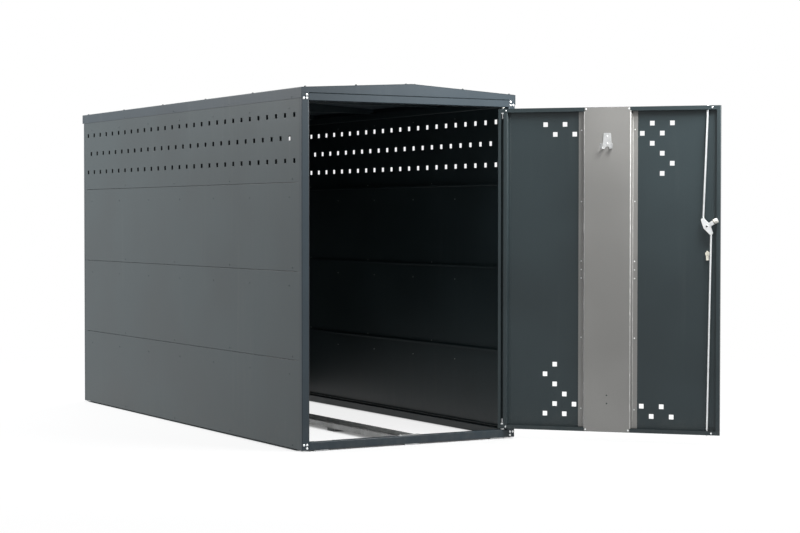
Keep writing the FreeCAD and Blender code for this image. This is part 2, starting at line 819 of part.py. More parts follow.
def door_seal():
    """A rubber strip on the lock post's stop flange that the shut door meets."""
    stop_face = POST_LEG - FRAME_SHEET
    outer = INNER_X - DOOR_SIDE_GAP
    inner = INNER_X - STOP_FLANGE + SEAL_CLEARANCE
    return box(-outer, -inner, FRONT + DOOR_THICK + SEAL_CLEARANCE, FRONT + stop_face,
               DOOR_LOW + END_LIP, DOOR_HIGH - END_LIP)


# Door leaf

def vent_places():
    """Square vents in the door's four corners, a chequer that turns into itself about the middle."""
    top_lock = ((1, 0), (3, 0), (0, 1), (2, 1), (1, 2), (2, 3), (3, 4), (2, 5))
    top_hinge = ((0, 0), (2, 0), (1, 1), (3, 1))
    places = []
    for column, row in top_lock:
        du = VENT_COLUMN + column * VENT_PITCH
        dz = DOOR_HIGH - VENT_FROM_END - row * VENT_PITCH - DOOR_MID_Z
        places += [(DOOR_MID_U + du, DOOR_MID_Z + dz), (DOOR_MID_U - du, DOOR_MID_Z - dz)]
    for column, row in top_hinge:
        du = VENT_COLUMN + (3 - column) * VENT_PITCH
        dz = DOOR_HIGH - VENT_FROM_END - row * VENT_PITCH - DOOR_MID_Z
        places += [(DOOR_MID_U - du, DOOR_MID_Z + dz), (DOOR_MID_U + du, DOOR_MID_Z - dz)]
    return places


def euro_section(v0, v1, gap):
    """The profile of the lock cylinder, round above and narrow below, grown by gap."""
    round_part = door_disc(LOCK_U, CYLINDER_Z, v0, v1, CYLINDER_ROUND + gap)
    bottom = CYLINDER_Z + CYLINDER_ROUND - CYLINDER_HEIGHT - gap
    stem = door_box(LOCK_U - CYLINDER_STEM - gap, LOCK_U + CYLINDER_STEM + gap, v0, v1, bottom, CYLINDER_Z)
    return round_part.fuse(stem).removeSplitter()


def rod_slot(z0, z1, gap):
    """Room for a locking rod, which leans a little more or less as the cam turns."""
    half, deep = GUIDE_SLOT / 2, ROD_RADIUS + gap
    return door_box(LOCK_U - half, LOCK_U + half, ROD_END_V - deep, ROD_END_V + deep, z0, z1)


def door_skin():
    """The leaf: outer skin, four folded edges and their lips, one welded tray."""
    tray = door_box(0, DOOR_WIDTH, 0, DOOR_THICK, DOOR_LOW, DOOR_HIGH)
    uprights = [e for e in tray.Edges if abs(e.tangentAt(e.FirstParameter).z) > 0.9]
    tray = tray.makeFillet(EDGE_ROUND, uprights)
    sheet = DOOR_SHEET
    hollow = door_box(sheet, DOOR_WIDTH - sheet, sheet, DOOR_THICK - sheet, DOOR_LOW + sheet,
                      DOOR_HIGH - sheet)
    window = door_box(HINGE_LIP, DOOR_WIDTH - LOCK_LIP, DOOR_THICK - sheet - PAST, DOOR_THICK + PAST,
                      DOOR_LOW + END_LIP, DOOR_HIGH - END_LIP)
    cuts = [hollow, window]
    for u, z in vent_places():
        cuts.append(door_box(u - VENT / 2, u + VENT / 2, -PAST, sheet + PAST, z - VENT / 2, z + VENT / 2))
    cuts.append(door_disc(LOCK_U, LOCK_Z, -PAST, sheet + PAST, SPINDLE_BUSH))
    cuts.append(euro_section(-PAST, sheet + PAST, CYLINDER_FIT))
    for face, way in ((DOOR_LOW, 1), (DOOR_HIGH, -1)):
        z0, z1 = face - way * PAST, face + way * (sheet + PAST)
        cuts.append(rod_slot(z0, z1, EDGE_SLOT_GAP))
        cuts.append(door_pin_tool(z0, z1))
    tray = tray.cut(Part.makeCompound(cuts))
    rivets = [at_door(u, DOOR_THICK, z) for u, z in end_screw_places(False)]
    return drill(tray, rivets, INTO_LOCKER, RIVET_SHANK, sheet)


def door_pin_tool(z0, z1):
    return rod(at_door(HINGE_IN, HINGE_BACK, z0), at_door(HINGE_IN, HINGE_BACK, z1), PIN_RADIUS + PIN_PRESS)


def end_screw_places(on_hat):
    """Rivets along the door's top and bottom lips: those of the stiffener, or those of the two edges."""
    spread = (DOOR_MID_U - HAT_SCREW_X, DOOR_MID_U + HAT_SCREW_X)
    if not on_hat:
        spread = (STILE_SCREW, DOOR_WIDTH - STILE_SCREW)
    return [(u, z) for u in spread for z in (DOOR_LOW + END_SCREW, DOOR_HIGH - END_SCREW)]


def hat_rivet_places():
    places = []
    for dz in sorted({sign * z for z in HAT_RIVETS_Z for sign in (-1, 1)}):
        for side in (-1, 1):
            places.append((DOOR_MID_U + side * HAT_RIVET_X, DOOR_MID_Z + dz))
    return places


def door_stiffener():
    """The hat-shaped stiffener: feet on the skin, sloping sides, and a web that laps over both end lips."""
    low, high = DOOR_LOW + END_LIP + TOUCH, DOOR_HIGH - END_LIP - TOUCH
    skin = DOOR_SHEET
    half_web, half_foot, half_width = HAT_WEB / 2, HAT_FOOT / 2, HAT_WIDTH / 2
    path = [(-half_width, skin), (-half_foot, skin), (-half_web, DOOR_THICK), (half_web, DOOR_THICK),
            (half_foot, skin), (half_width, skin)]
    wire = folded([(DOOR_EDGE_X - DOOR_MID_U + a, FRONT + b) for a, b in path], HAT_SHEET)
    hat = along_z(wire, low, high)
    flat = half_web - BEND
    for z0, z1 in ((DOOR_LOW + TAB_IN, low), (high, DOOR_HIGH - TAB_IN)):
        tab = door_box(DOOR_MID_U - flat, DOOR_MID_U + flat, DOOR_THICK, DOOR_THICK + HAT_SHEET, z0, z1)
        hat = hat.fuse(tab)
    hat = hat.removeSplitter()
    for height in STRAP_HOLES_UP:
        hat = hat.cut(door_disc(DOOR_MID_U, DOOR_LOW + height, DOOR_THICK - PAST, WEB_V + PAST, STRAP_HOLE))
    return hat


def hinge_stile():
    """A Z-shaped upright beside the pins that stiffens the hinge edge."""
    face_from = HINGE_IN + PIN_RADIUS + STILE_PIN_GAP
    wall = face_from + STILE_FACE
    back = DOOR_THICK - DOOR_SHEET
    path = [(wall + STILE_FOOT, DOOR_SHEET), (wall, DOOR_SHEET), (wall, back), (face_from, back)]
    wire = folded([(DOOR_EDGE_X - u, FRONT + v) for u, v in path], DOOR_SHEET)
    return along_z(wire, DOOR_LOW + END_LIP + TOUCH, DOOR_HIGH - END_LIP - TOUCH)


def lock_strip():
    """A doubling strip on the skin behind the rods and the lock."""
    outer = DOOR_WIDTH - LOCK_LIP - TOUCH
    end = END_LIP + TOUCH + GUIDE_LENGTH
    strip = door_box(outer - LOCK_STRIP, outer, DOOR_SHEET, 2 * DOOR_SHEET, DOOR_LOW + end, DOOR_HIGH - end)
    spindle_hole = door_disc(LOCK_U, LOCK_Z, 0, DOOR_THICK, SPINDLE_BUSH)
    return strip.cut(Part.makeCompound([spindle_hole, euro_section(0, DOOR_THICK, CYLINDER_FIT)]))


def door_rivets():
    """Heads on the stiffener's feet, on the lapped ends and on the hook."""
    heads = [rivet(at_door(u, DOOR_THICK, z), INTO_LOCKER, DOOR_SHEET) for u, z in end_screw_places(False)]
    heads += [rivet_head(at_door(u, WEB_V, z), INTO_LOCKER, RIVET_HEAD) for u, z in end_screw_places(True)]
    heads += [rivet_head(at_door(u, DOOR_SHEET + HAT_SHEET, z), INTO_LOCKER, FOOT_RIVET_HEAD)
              for u, z in hat_rivet_places()]
    heads += [rivet_head(at_door(DOOR_MID_U, WEB_V + HOOK_SHEET, z), INTO_LOCKER, HOOK_RIVET_HEAD)
              for z in hook_hole_heights()]
    return Part.makeCompound(heads)


def hook_hole_heights():
    top = DOOR_HIGH - HOOK_TOP - HOOK_RIVET_IN
    return (top, top - HOOK_RIVET_GAP)


def helmet_hook():
    """A bent plate on the stiffener: its foot curls out under an arch, with two splayed arms that turn up."""
    top = DOOR_HIGH - HOOK_TOP
    foot = top - HOOK_HEIGHT
    low = foot - HOOK_DROP
    half_top, half_foot = HOOK_TOP_WIDTH / 2, HOOK_FOOT_WIDTH / 2
    out = WEB_V + HOOK_SHEET
    points = [(DOOR_MID_U - half_top, top, HOOK_CORNER), (DOOR_MID_U + half_top, top, HOOK_CORNER),
              (DOOR_MID_U + half_foot, foot, 0), (DOOR_MID_U - half_foot, foot, 0)]
    plate = door_plate(points, WEB_V, out)
    bend = HOOK_SHEET + BEND
    curl = [(WEB_V, foot + bend), (WEB_V, low), (out + HOOK_LIP, low)]
    middle = DOOR_EDGE_X - DOOR_MID_U
    section = folded([(FRONT + v, z) for v, z in curl], HOOK_SHEET, bend)
    lip = along_x(section, middle - half_foot, middle + half_foot)
    arm = [(out + HOOK_LIP / 2, low), (WEB_V + HOOK_TURN_UP, low), (WEB_V + HOOK_REACH, low + HOOK_RISE)]
    strip = folded([(FRONT + v, z) for v, z in arm], HOOK_SHEET, bend)
    pieces = [plate, lip]
    for side in (-1, 1):
        edge = middle + side * half_foot
        piece = along_x(strip, min(edge, edge - side * HOOK_ARM), max(edge, edge - side * HOOK_ARM))
        piece.rotate(V(edge - side * HOOK_ARM, FRONT + out, low), UP, -side * HOOK_SPLAY)
        pieces.append(piece)
    hook = pieces[0].fuse(pieces[1:]).removeSplitter()
    arch = door_disc(DOOR_MID_U, low, WEB_V - PAST, WEB_V + HOOK_REACH, HOOK_ARCH)
    return hook.cut(arch)


def hinge_pins():
    """The two pins in the hinge edge. The lower one has the collar that carries the door."""
    bottom = at_door(HINGE_IN, HINGE_BACK, DOOR_LOW)
    top = at_door(HINGE_IN, HINGE_BACK, DOOR_HIGH)
    lower = rod(bottom - UP * PIN_REACH, bottom + UP * PIN_TAIL, PIN_RADIUS)
    collar = rod(bottom - UP * (DOOR_END_GAP - BUSH_FLANGE), bottom, PIN_COLLAR)
    upper = rod(top - UP * PIN_TAIL, top + UP * PIN_REACH, PIN_RADIUS)
    return Part.makeCompound([lower.fuse(collar).removeSplitter(), upper])


def hinge_blocks():
    """Blocks inside the door's corners that hold the pins."""
    width, depth, height = HINGE_BLOCK
    blocks = []
    for z0, z1 in ((DOOR_LOW + DOOR_SHEET, DOOR_LOW + DOOR_SHEET + height),
                   (DOOR_HIGH - DOOR_SHEET - height, DOOR_HIGH - DOOR_SHEET)):
        block = door_box(DOOR_SHEET, DOOR_SHEET + width, DOOR_SHEET, DOOR_SHEET + depth, z0, z1)
        blocks.append(block.cut(door_pin_tool(z0 - PAST, z1 + PAST)))
    return Part.makeCompound(blocks)


def rod_guides():
    """Slotted blocks in the door's corners that the rods slide through."""
    guides = []
    sheet = DOOR_SHEET
    for z0, z1 in ((DOOR_LOW + sheet, DOOR_LOW + sheet + GUIDE_LENGTH),
                   (DOOR_HIGH - sheet - GUIDE_LENGTH, DOOR_HIGH - sheet)):
        half = GUIDE_WIDTH / 2
        block = door_box(LOCK_U - half, LOCK_U + half, sheet, DOOR_THICK - sheet, z0, z1)
        guides.append(block.cut(rod_slot(z0 - PAST, z1 + PAST, GUIDE_GAP)))
    return Part.makeCompound(guides)


# Lock inside the door

def cam_point(angle, radius, v):
    """A point about the spindle, at an angle from the direction of the lock edge towards up."""
    turn = math.radians(angle)
    return at_door(LOCK_U + radius * math.cos(turn), v, LOCK_Z + radius * math.sin(turn))


def link_plate(angle, radius, end_radius, hub_radius, v0, v1):
    """A tapering plate from the hub to a round end."""
    spread = math.degrees(math.asin((hub_radius - end_radius) / radius))
    side = 90.0 - spread
    ring = []
    for sign in (1, -1):
        turn = math.radians(angle + sign * side)
        way = V(-math.cos(turn), 0, math.sin(turn))
        hub_side = cam_point(0, 0, v0) + way * hub_radius
        end_side = cam_point(angle, radius, v0) + way * end_radius
        ring += [hub_side, end_side] if sign > 0 else [end_side, hub_side]
    quad = Part.Face(Part.makePolygon(ring + [ring[0]])).extrude(V(0, v1 - v0, 0))
    end = rod(cam_point(angle, radius, v0), cam_point(angle, radius, v1), end_radius)
    return quad.fuse(end)


def pin_angle():
    """Direction of the upper rod's pin at rest; the lower one is opposite."""
    return ARM_ANGLE + CAM_PIN_LEAD


def lock_cam():
    """The plate on the spindle: two lobes for the rods and an arm whose stud carries the roller."""
    back = CAM_BACK + CAM_SHEET
    cam = door_disc(LOCK_U, LOCK_Z, CAM_BACK, back, HUB_RADIUS)
    for angle in (pin_angle(), pin_angle() + 180):
        cam = cam.fuse(link_plate(angle, PIN_CIRCLE, LOBE_RADIUS, HUB_RADIUS, CAM_BACK, back))
    arm_end = LOCK_U + ROLLER_FROM - ROLLER_PLAY
    cheek_from = arm_end - STUD_CHEEK
    cap_from = LOCK_U + ROLLER_TO + ROLLER_PLAY
    z0, z1 = LOCK_Z - ARM_WIDTH / 2, LOCK_Z + ARM_WIDTH / 2
    block = door_box(LOCK_U + HUB_RADIUS / 2, arm_end, CAM_BACK, back, z0, z1)
    cheek = door_box(cheek_from, arm_end, CAM_BACK, ROLLER_AXIS + ARM_WIDTH / 2, z0, z1)
    stud = rod(at_door(cheek_from, ROLLER_AXIS, LOCK_Z), at_door(cap_from, ROLLER_AXIS, LOCK_Z), STUD_RADIUS)
    cap = rod(at_door(cap_from, ROLLER_AXIS, LOCK_Z), at_door(cap_from + STUD_CAP, ROLLER_AXIS, LOCK_Z),
              STUD_RADIUS + STUD_CAP_RIM)
    arm = block.fuse([cheek, stud, cap])
    arm.rotate(at_door(LOCK_U, 0, LOCK_Z), INTO_LOCKER, ARM_ANGLE)
    cam = cam.fuse(arm).removeSplitter()
    return cam.cut(door_disc(LOCK_U, LOCK_Z, CAM_BACK - PAST, back + PAST, SPINDLE_NOSE))


def cam_roller():
    """The roller on the arm's stud, which draws the door in behind the stop flange."""
    start = at_door(LOCK_U + ROLLER_FROM, ROLLER_AXIS, LOCK_Z)
    end = at_door(LOCK_U + ROLLER_TO, ROLLER_AXIS, LOCK_Z)
    drum = rod(start, end, ROLLER_RADIUS)
    rims = [e for e in drum.Edges if e.Curve.TypeId == "Part::GeomCircle"]
    drum = drum.makeFillet(ROLLER_ROUND, rims)
    past = (end - start).normalize() * PAST
    drum = drum.cut(rod(start - past, end + past, STUD_RADIUS + RUNNING))
    drum.rotate(at_door(LOCK_U, 0, LOCK_Z), INTO_LOCKER, ARM_ANGLE)
    return drum


def lock_spindle():
    """The shaft from the lever's neck to the cam, stepped where the cam seats."""
    shaft = door_disc(LOCK_U, LOCK_Z, neck_v() - NECK_REACH, CAM_BACK, SPINDLE_RADIUS)
    nose = door_disc(LOCK_U, LOCK_Z, CAM_BACK, CAM_BACK + CAM_SHEET, SPINDLE_NOSE)
    return shaft.fuse(nose).removeSplitter().cut(neck_pin())


def cam_screw():
    """The socket screw that holds the cam on the spindle."""
    seat = CAM_BACK + CAM_SHEET
    top = seat + CAM_SCREW_HEAD
    head = door_disc(LOCK_U, LOCK_Z, seat, top, SPINDLE_RADIUS)
    socket = door_disc(LOCK_U, LOCK_Z, seat + CAM_SCREW_FLOOR, top + PAST, CAM_SCREW_SOCKET)
    return head.cut(socket)


def spindle_bush():
    """The flanged bush that carries the spindle in the skin."""
    seat = 2 * DOOR_SHEET
    top = seat + SPINDLE_FLANGE_THICK
    sleeve = door_disc(LOCK_U, LOCK_Z, BUSH_INSET - PLATE_THICK, seat, SPINDLE_BUSH - RUNNING)
    flange = door_disc(LOCK_U, LOCK_Z, seat, top, SPINDLE_FLANGE)
    bore = door_disc(LOCK_U, LOCK_Z, -PLATE_THICK, top + PAST, SPINDLE_RADIUS + RUNNING)
    return sleeve.fuse(flange).removeSplitter().cut(bore)


def pivot_pins():
    """Shouldered pins on the cam's lobes for the rods' eyes, and the cross pin in the lever's neck."""
    eye_low = ROD_CAM_V - ROD_EYE_THICK / 2
    shoulder = eye_low - ROD_END_PLAY
    pins = []
    for angle in (pin_angle(), pin_angle() + 180):
        seat = cam_point(angle, PIN_CIRCLE, shoulder)
        body = rod(seat, cam_point(angle, PIN_CIRCLE, CAM_BACK), ROD_PIN)
        head = rod(seat - INTO_LOCKER * ROD_PIN_HEAD, seat, ROD_PIN + ROD_PIN_RIM)
        pins.append(body.fuse(head).removeSplitter())
    return Part.makeCompound(pins + [neck_pin()])


def locking_rod(angle, end_z, way):
    """A rod from its pin on the cam to the door's end: an eye, a slanting run, and a straight tip."""
    pin = cam_point(angle, PIN_CIRCLE, ROD_CAM_V)
    tip = at_door(LOCK_U, ROD_END_V, end_z + way * ROD_TIP)
    line = V(tip.x - pin.x, 0, tip.z - pin.z)
    line.normalize()
    base = tip - line * ROD_TAPER
    knee = tip - line * ROD_STRAIGHT
    first = pin + line * (ROD_EYE + ROD_NECK_LENGTH)
    eye = rod(pin - V(0, ROD_EYE_THICK / 2, 0), pin + V(0, ROD_EYE_THICK / 2, 0), ROD_EYE)
    root = rod(pin + line * (ROD_PIN + ROD_EYE) / 2, first, ROD_NECK)
    bar = eye.fuse([root, Part.makeSphere(ROD_RADIUS, first), rod(first, knee, ROD_RADIUS),
                    Part.makeSphere(ROD_RADIUS, knee), rod(knee, base, ROD_RADIUS),
                    Part.makeCone(ROD_RADIUS, ROD_RADIUS / 2, ROD_TAPER, base, line)])
    bar = bar.removeSplitter()
    hole = rod(pin - V(0, ROD_EYE_THICK, 0), pin + V(0, ROD_EYE_THICK, 0), ROD_PIN + RUNNING)
    return bar.cut(hole)


def upper_rod():
    return locking_rod(pin_angle(), DOOR_HIGH, 1)


def lower_rod():
    return locking_rod(pin_angle() + 180, DOOR_LOW, -1)


# Handle outside the door

def handle_plate():
    """The flat escutcheon under the lever."""
    half = PLATE_WIDTH / 2
    corner = half - BEND
    low, high = LOCK_Z - PLATE_BELOW, LOCK_Z + PLATE_ABOVE
    points = [(LOCK_U - half, low, corner), (LOCK_U + half, low, corner), (LOCK_U + half, high, corner),
              (LOCK_U - half, high, corner)]
    plate = door_plate(points, -PLATE_THICK, 0)
    plate = plate.makeFillet(PLATE_ROUND, face_rim(plate, -PLATE_THICK))
    plate = plate.cut(door_disc(LOCK_U, LOCK_Z, -PLATE_THICK - PAST, PAST, SPINDLE_BUSH))
    return plate.cut(euro_section(-PLATE_THICK - PAST, PAST, CYLINDER_FIT))


def face_rim(plate, v):
    """The edges of a door plate that lie in the plane at v."""
    return [e for e in plate.Edges if e.BoundBox.YLength < 1e-6 and abs(e.BoundBox.YMin - FRONT - v) < 1e-3]


def to_rest(shape):
    """Turn a piece that is drawn with the handle locked to the handle's rest angle."""
    shape.rotate(at_door(LOCK_U, 0, LOCK_Z), INTO_LOCKER, ARM_ANGLE)
    return shape


def neck_v():
    """Where the lever's neck stands on its hub, outside the door."""
    return -(PLATE_THICK + LEVER_GAP + HUB_THICK)


def neck_pin():
    """The cross pin that holds the lever on the spindle."""
    v = neck_v() - NECK_REACH / 2
    reach = LEVER_RADIUS - BEND / 2
    return to_rest(rod(at_door(LOCK_U, v, LOCK_Z - reach), at_door(LOCK_U, v, LOCK_Z + reach), NECK_PIN))


def handle_hub():
    """The disc under the lever that turns on the plate."""
    disc = door_disc(LOCK_U, LOCK_Z, neck_v(), -(PLATE_THICK + LEVER_GAP), HUB_DISC)
    disc = disc.makeFillet(BEND, face_rim(disc, neck_v()))
    return disc.cut(door_disc(LOCK_U, LOCK_Z, neck_v() - PAST, 0, SPINDLE_RADIUS))


def handle_lever():
    """A round lever: a neck on the spindle, one bend, and a grip that points away from the lock edge."""
    bend_v = LEVER_BEND - LEVER_STAND
    neck = door_disc(LOCK_U, LOCK_Z, bend_v, neck_v(), LEVER_RADIUS)
    seat = at_door(LOCK_U, bend_v, LOCK_Z)
    ring = Part.Face(Part.Wire(Part.makeCircle(LEVER_RADIUS, seat, INTO_LOCKER)))
    elbow = ring.revolve(at_door(LOCK_U - LEVER_BEND, bend_v, LOCK_Z), UP, 90)
    tip = at_door(LOCK_U - LEVER_LENGTH + LEVER_RADIUS, -LEVER_STAND, LOCK_Z)
    grip = rod(at_door(LOCK_U - LEVER_BEND, -LEVER_STAND, LOCK_Z), tip, LEVER_RADIUS)
    lever = neck.fuse([elbow, grip, Part.makeSphere(LEVER_RADIUS, tip)]).removeSplitter()
    lever = lever.cut(door_disc(LOCK_U, LOCK_Z, neck_v() - NECK_REACH, neck_v() + PAST, SPINDLE_RADIUS))
    return to_rest(lever).cut(neck_pin())


def cylinder_body():
    """The profile half cylinder under the lever, flush outside."""
    bore = door_disc(LOCK_U, CYLINDER_Z, -PLATE_THICK - PAST, CYLINDER_INNER + PAST, PLUG_RADIUS + RUNNING)
    return euro_section(-PLATE_THICK, CYLINDER_INNER, 0).cut(bore)


def cylinder_plug():
    """The plug that the key turns, with its keyway outside and its tail inside."""
    seat = CYLINDER_INNER + PLUG_PROUD
    tail_width, tail_thick, tail_length = TAIL
    plug = door_disc(LOCK_U, CYLINDER_Z, -PLATE_THICK, seat, PLUG_RADIUS)
    tail = door_box(LOCK_U - tail_width / 2, LOCK_U + tail_width / 2, seat, seat + tail_thick,
                    CYLINDER_Z - tail_width / 2, CYLINDER_Z - tail_width / 2 + tail_length)
    width, height, depth = KEYWAY
    keyway = door_box(LOCK_U - width / 2, LOCK_U + width / 2, -PLATE_THICK - PAST, -PLATE_THICK + depth,
                      CYLINDER_Z - height / 2, CYLINDER_Z + height / 2)
    return plug.fuse(tail).removeSplitter().cut(keyway)


# The whole locker

def frame_nodes():
    nodes = {
        "base_pads": base_pads(),
        "front_sill": front_sill(),
        "front_header": front_header(),
        "front_post_left": front_post(-1),
        "front_post_right": front_post(1),
        "rear_post_left": rear_post(-1),
        "rear_post_right": rear_post(1),
        "rear_sill": rear_sill(),
        "rear_header": rear_header(),
        "corner_gussets": corner_gussets(),
        "wheel_channel": wheel_channel(),
        "channel_brackets": channel_brackets(),
        "frame_screws": frame_screws(),
        "panel_rivets": panel_rivets(),
        "roof_sheet_left": roof_sheet(-1),
        "roof_sheet_right": roof_sheet(1),
        "roof_bearers": roof_bearers(),
        "roof_screws": roof_screws(),
        "gable_front": gable_front(),
        "gable_rear": gable_rear(),
        "hinge_bushes": hinge_bushes(),
        "door_seal": door_seal(),
    }
    for side, name in ((-1, "left"), (1, "right")):
        nodes["bottom_rail_" + name] = side_rail(side, 0, PAD_HEIGHT + SIDE_RAIL_HEIGHT)
        nodes["top_rail_" + name] = side_rail(side, FRAME_TOP - SIDE_RAIL_HEIGHT, FRAME_TOP)
        for index in range(PANEL_COUNT):
            nodes[f"{name}_panel_{index + 1}"] = side_panel(side, index)
    for index in range(PANEL_COUNT):
        nodes[f"rear_panel_{index + 1}"] = rear_panel(index)
    return nodes


def door_nodes():
    return {
        "door_skin": door_skin(),
        "door_stiffener": door_stiffener(),
        "hinge_stile": hinge_stile(),
        "lock_strip": lock_strip(),
        "door_rivets": door_rivets(),
        "helmet_hook": helmet_hook(),
        "hinge_pins": hinge_pins(),
        "hinge_blocks": hinge_blocks(),
        "rod_guides": rod_guides(),
        "spindle_bush": spindle_bush(),
        "handle_plate": handle_plate(),
        "cylinder_body": cylinder_body(),
        "cylinder_plug": cylinder_plug(),
        "lock_spindle": lock_spindle(),
        "lock_cam": lock_cam(),
        "cam_screw": cam_screw(),
        "cam_roller": cam_roller(),
        "pivot_pins": pivot_pins(),
        "upper_rod": upper_rod(),
        "lower_rod": lower_rod(),
        "handle_hub": handle_hub(),
        "handle_lever": handle_lever(),
    }


def main():
    os.makedirs("parts", exist_ok=True)
    nodes = frame_nodes()
    for name, shape in door_nodes().items():
        shape.rotate(V(HINGE_X, HINGE_Y, 0), UP, OPEN_ANGLE)
        nodes[name] = shape
    for name, shape in nodes.items():
        print(f"{name:18s} solids {len(shape.Solids):3d}  valid {shape.isValid()}")
        shape.exportStep(f"parts/{name}.step")
    print(len(nodes), "nodes")


main()
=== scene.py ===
"""Looks of the bicycle locker: rolled edges, fasteners, welds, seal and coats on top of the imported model.

Metres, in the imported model's own frame: +X hinge side, +Y to the rear, +Z up.
"""

import json
import math

import bmesh
import bpy
from mathutils import Matrix, Vector


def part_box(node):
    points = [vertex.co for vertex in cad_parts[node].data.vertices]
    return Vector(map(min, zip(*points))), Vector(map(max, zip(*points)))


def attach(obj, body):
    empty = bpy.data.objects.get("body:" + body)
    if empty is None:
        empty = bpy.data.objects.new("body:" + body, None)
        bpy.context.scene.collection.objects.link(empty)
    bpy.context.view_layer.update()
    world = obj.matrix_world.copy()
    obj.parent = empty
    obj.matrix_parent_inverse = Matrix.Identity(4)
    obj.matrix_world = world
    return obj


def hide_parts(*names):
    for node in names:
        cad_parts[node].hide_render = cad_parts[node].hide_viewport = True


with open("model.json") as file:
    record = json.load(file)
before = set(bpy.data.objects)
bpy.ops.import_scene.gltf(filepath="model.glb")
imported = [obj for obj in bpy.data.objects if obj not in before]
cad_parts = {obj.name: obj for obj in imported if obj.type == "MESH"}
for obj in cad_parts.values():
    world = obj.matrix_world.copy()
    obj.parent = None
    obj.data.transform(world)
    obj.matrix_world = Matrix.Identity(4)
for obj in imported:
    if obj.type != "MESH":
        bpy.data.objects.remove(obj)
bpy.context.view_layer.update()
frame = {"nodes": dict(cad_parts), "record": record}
nodes = frame["nodes"]

behaviour = frame["record"]["behaviour"]
BODY_OF = {name: body for body, members in behaviour["bodies"].items() for name in members}
JOINT = {joint["name"]: joint for joint in behaviour["joints"]}

# Directions of the open door: INWARD is the way its inner face looks, TO_LOCK runs to its lock edge
UP = Vector((0.0, 0.0, 1.0))
INWARD = Vector(JOINT["handle_turn"]["axis"])
TO_LOCK = UP.cross(INWARD)
SPINDLE = Vector(JOINT["handle_turn"]["pos_m"])
LEVER_DROP = -math.radians(JOINT["handle_turn"]["range_deg"][0])
ROLLER_AXIS = Vector(JOINT["roller_spin"]["axis"])
ROLLER_PLACE = Vector(JOINT["roller_spin"]["pos_m"])

# Rolled edges: points closer than MERGE are one, folds are told apart by their angle in degrees, and a facet
# narrower than STRIP belongs to a bend or a bar
MERGE = 2e-6
SAME_PLANE = 0.6
FLAT_FOLD = 0.8
SHARP_FOLD = 38.0
STRIP = 0.006
FRAME_EDGE = 0.0006
ROOF_EDGE = 0.0005
SHEET_EDGE = 0.0004
STIFFENER_EDGE = 0.0012
METAL_EDGE = 0.0003
CYLINDER_EDGE = 0.00025
MOULDED_EDGE = 0.0005

# Fasteners; DRIVE_TURN is how far each drive stands turned from the last, in radians
PART_MERGE = 1e-5
DRIVE_TURN = 0.7
LOBE_DEPTH = 0.13
HEAD_ON_WASHER = 0.86
CHANNEL_ZONE = 0.2
SCREW_HEIGHT = 0.0024
SEAL_WASHER = 0.0007
ROOF_SINK = 0.00015
ROOF_HEAD = 0.0042
RIDGE_ZONE = 0.1
RIVET_HEIGHT = 0.0013
RIVET_RADIUS = 0.0034
TAIL_RADIUS = 0.0019
TAIL_HEIGHT = 0.0011
WALL_SKIN = 0.00125
RAIL_REACH = 0.032
REAR_FACE = 1.11
REAR_RIVET_IN = 0.0125
REAR_RIVET_TURN = 9
CORNER_NEAR = 0.0083
CORNER_FAR = 0.0207
WALL_FACE = 0.46
ROOF_RISE = 0.026

# Hexagon socket of the cam's screw
SOCKET_RADIUS = 0.0026
SOCKET_RIM = 0.0036

# Lips of the door's tray, and the weld beads at their corners
HINGE_LIP = 0.012
LOCK_LIP = 0.014
END_LIP = 0.015
WELD_START = 0.001
WELD_END = 0.0006
BEAD_RADIUS = 0.0011
BEAD_PROUD = 0.00022
BEAD_PITCH = 0.0026
BEAD_SIDES = 10
RIPPLE_STEPS = 6

# Outside lever, along its own run
NECK_FOOT = 0.010
NECK_COLLAR = 0.015
LEVER_STAND = 0.052
LEVER_BEND = 0.020
LEVER_LENGTH = 0.128
LEVER_RADIUS = 0.010
GRIP_RADIUS = 0.0086
GRIP_SWELL = 0.0011
GRIP_FLAT = 0.9
BEND_STEPS = 12
GRIP_STEPS = 14
TIP_STEPS = 8

# Rings of the lever's neck: how far past its foot, and their radius
NECK_RINGS = (
    (0.0, 0.0094),
    (0.0006, LEVER_RADIUS),
    (NECK_COLLAR - 0.0008, LEVER_RADIUS),
    (NECK_COLLAR, 0.0096),
    (NECK_COLLAR + 0.0004, 0.0090),
    (NECK_COLLAR + 0.0022, GRIP_RADIUS),
)


# Node groups

def new_group(name, inputs, outputs):
    """An empty node group with float or colour sockets, and its in and out nodes."""
    group = bpy.data.node_groups.new(name, "ShaderNodeTree")
    for label, kind, value in inputs:
        socket = group.interface.new_socket(name=label, in_out="INPUT", socket_type=kind)
        if value is not None:
            socket.default_value = value
    for label, kind in outputs:
        group.interface.new_socket(name=label, in_out="OUTPUT", socket_type=kind)
    return group, group.nodes.new("NodeGroupInput"), group.nodes.new("NodeGroupOutput")


def put(tree, kind, **settings):
    node = tree.nodes.new(kind)
    for key, value in settings.items():
        setattr(node, key, value)
    return node


def feed(tree, source, socket):
    tree.links.new(source, socket)


def maths(tree, operation, first, second=None, clamp=False):
    """A Math node; first and second are sockets or numbers."""
    node = put(tree, "ShaderNodeMath", operation=operation, use_clamp=clamp)
    for index, value in enumerate((first, second)):
        if value is None:
            continue
        if isinstance(value, (int, float)):
            node.inputs[index].default_value = value
        else:
            feed(tree, value, node.inputs[index])
    return node.outputs[0]


def noise(tree, vector, scale, detail=3.0, rough=0.5):
    node = put(tree, "ShaderNodeTexNoise")
    if isinstance(scale, (int, float)):
        node.inputs["Scale"].default_value = scale
    else:
        feed(tree, scale, node.inputs["Scale"])
    node.inputs["Detail"].default_value = detail
    node.inputs["Roughness"].default_value = rough
    feed(tree, vector, node.inputs["Vector"])
    return node.outputs["Fac"]


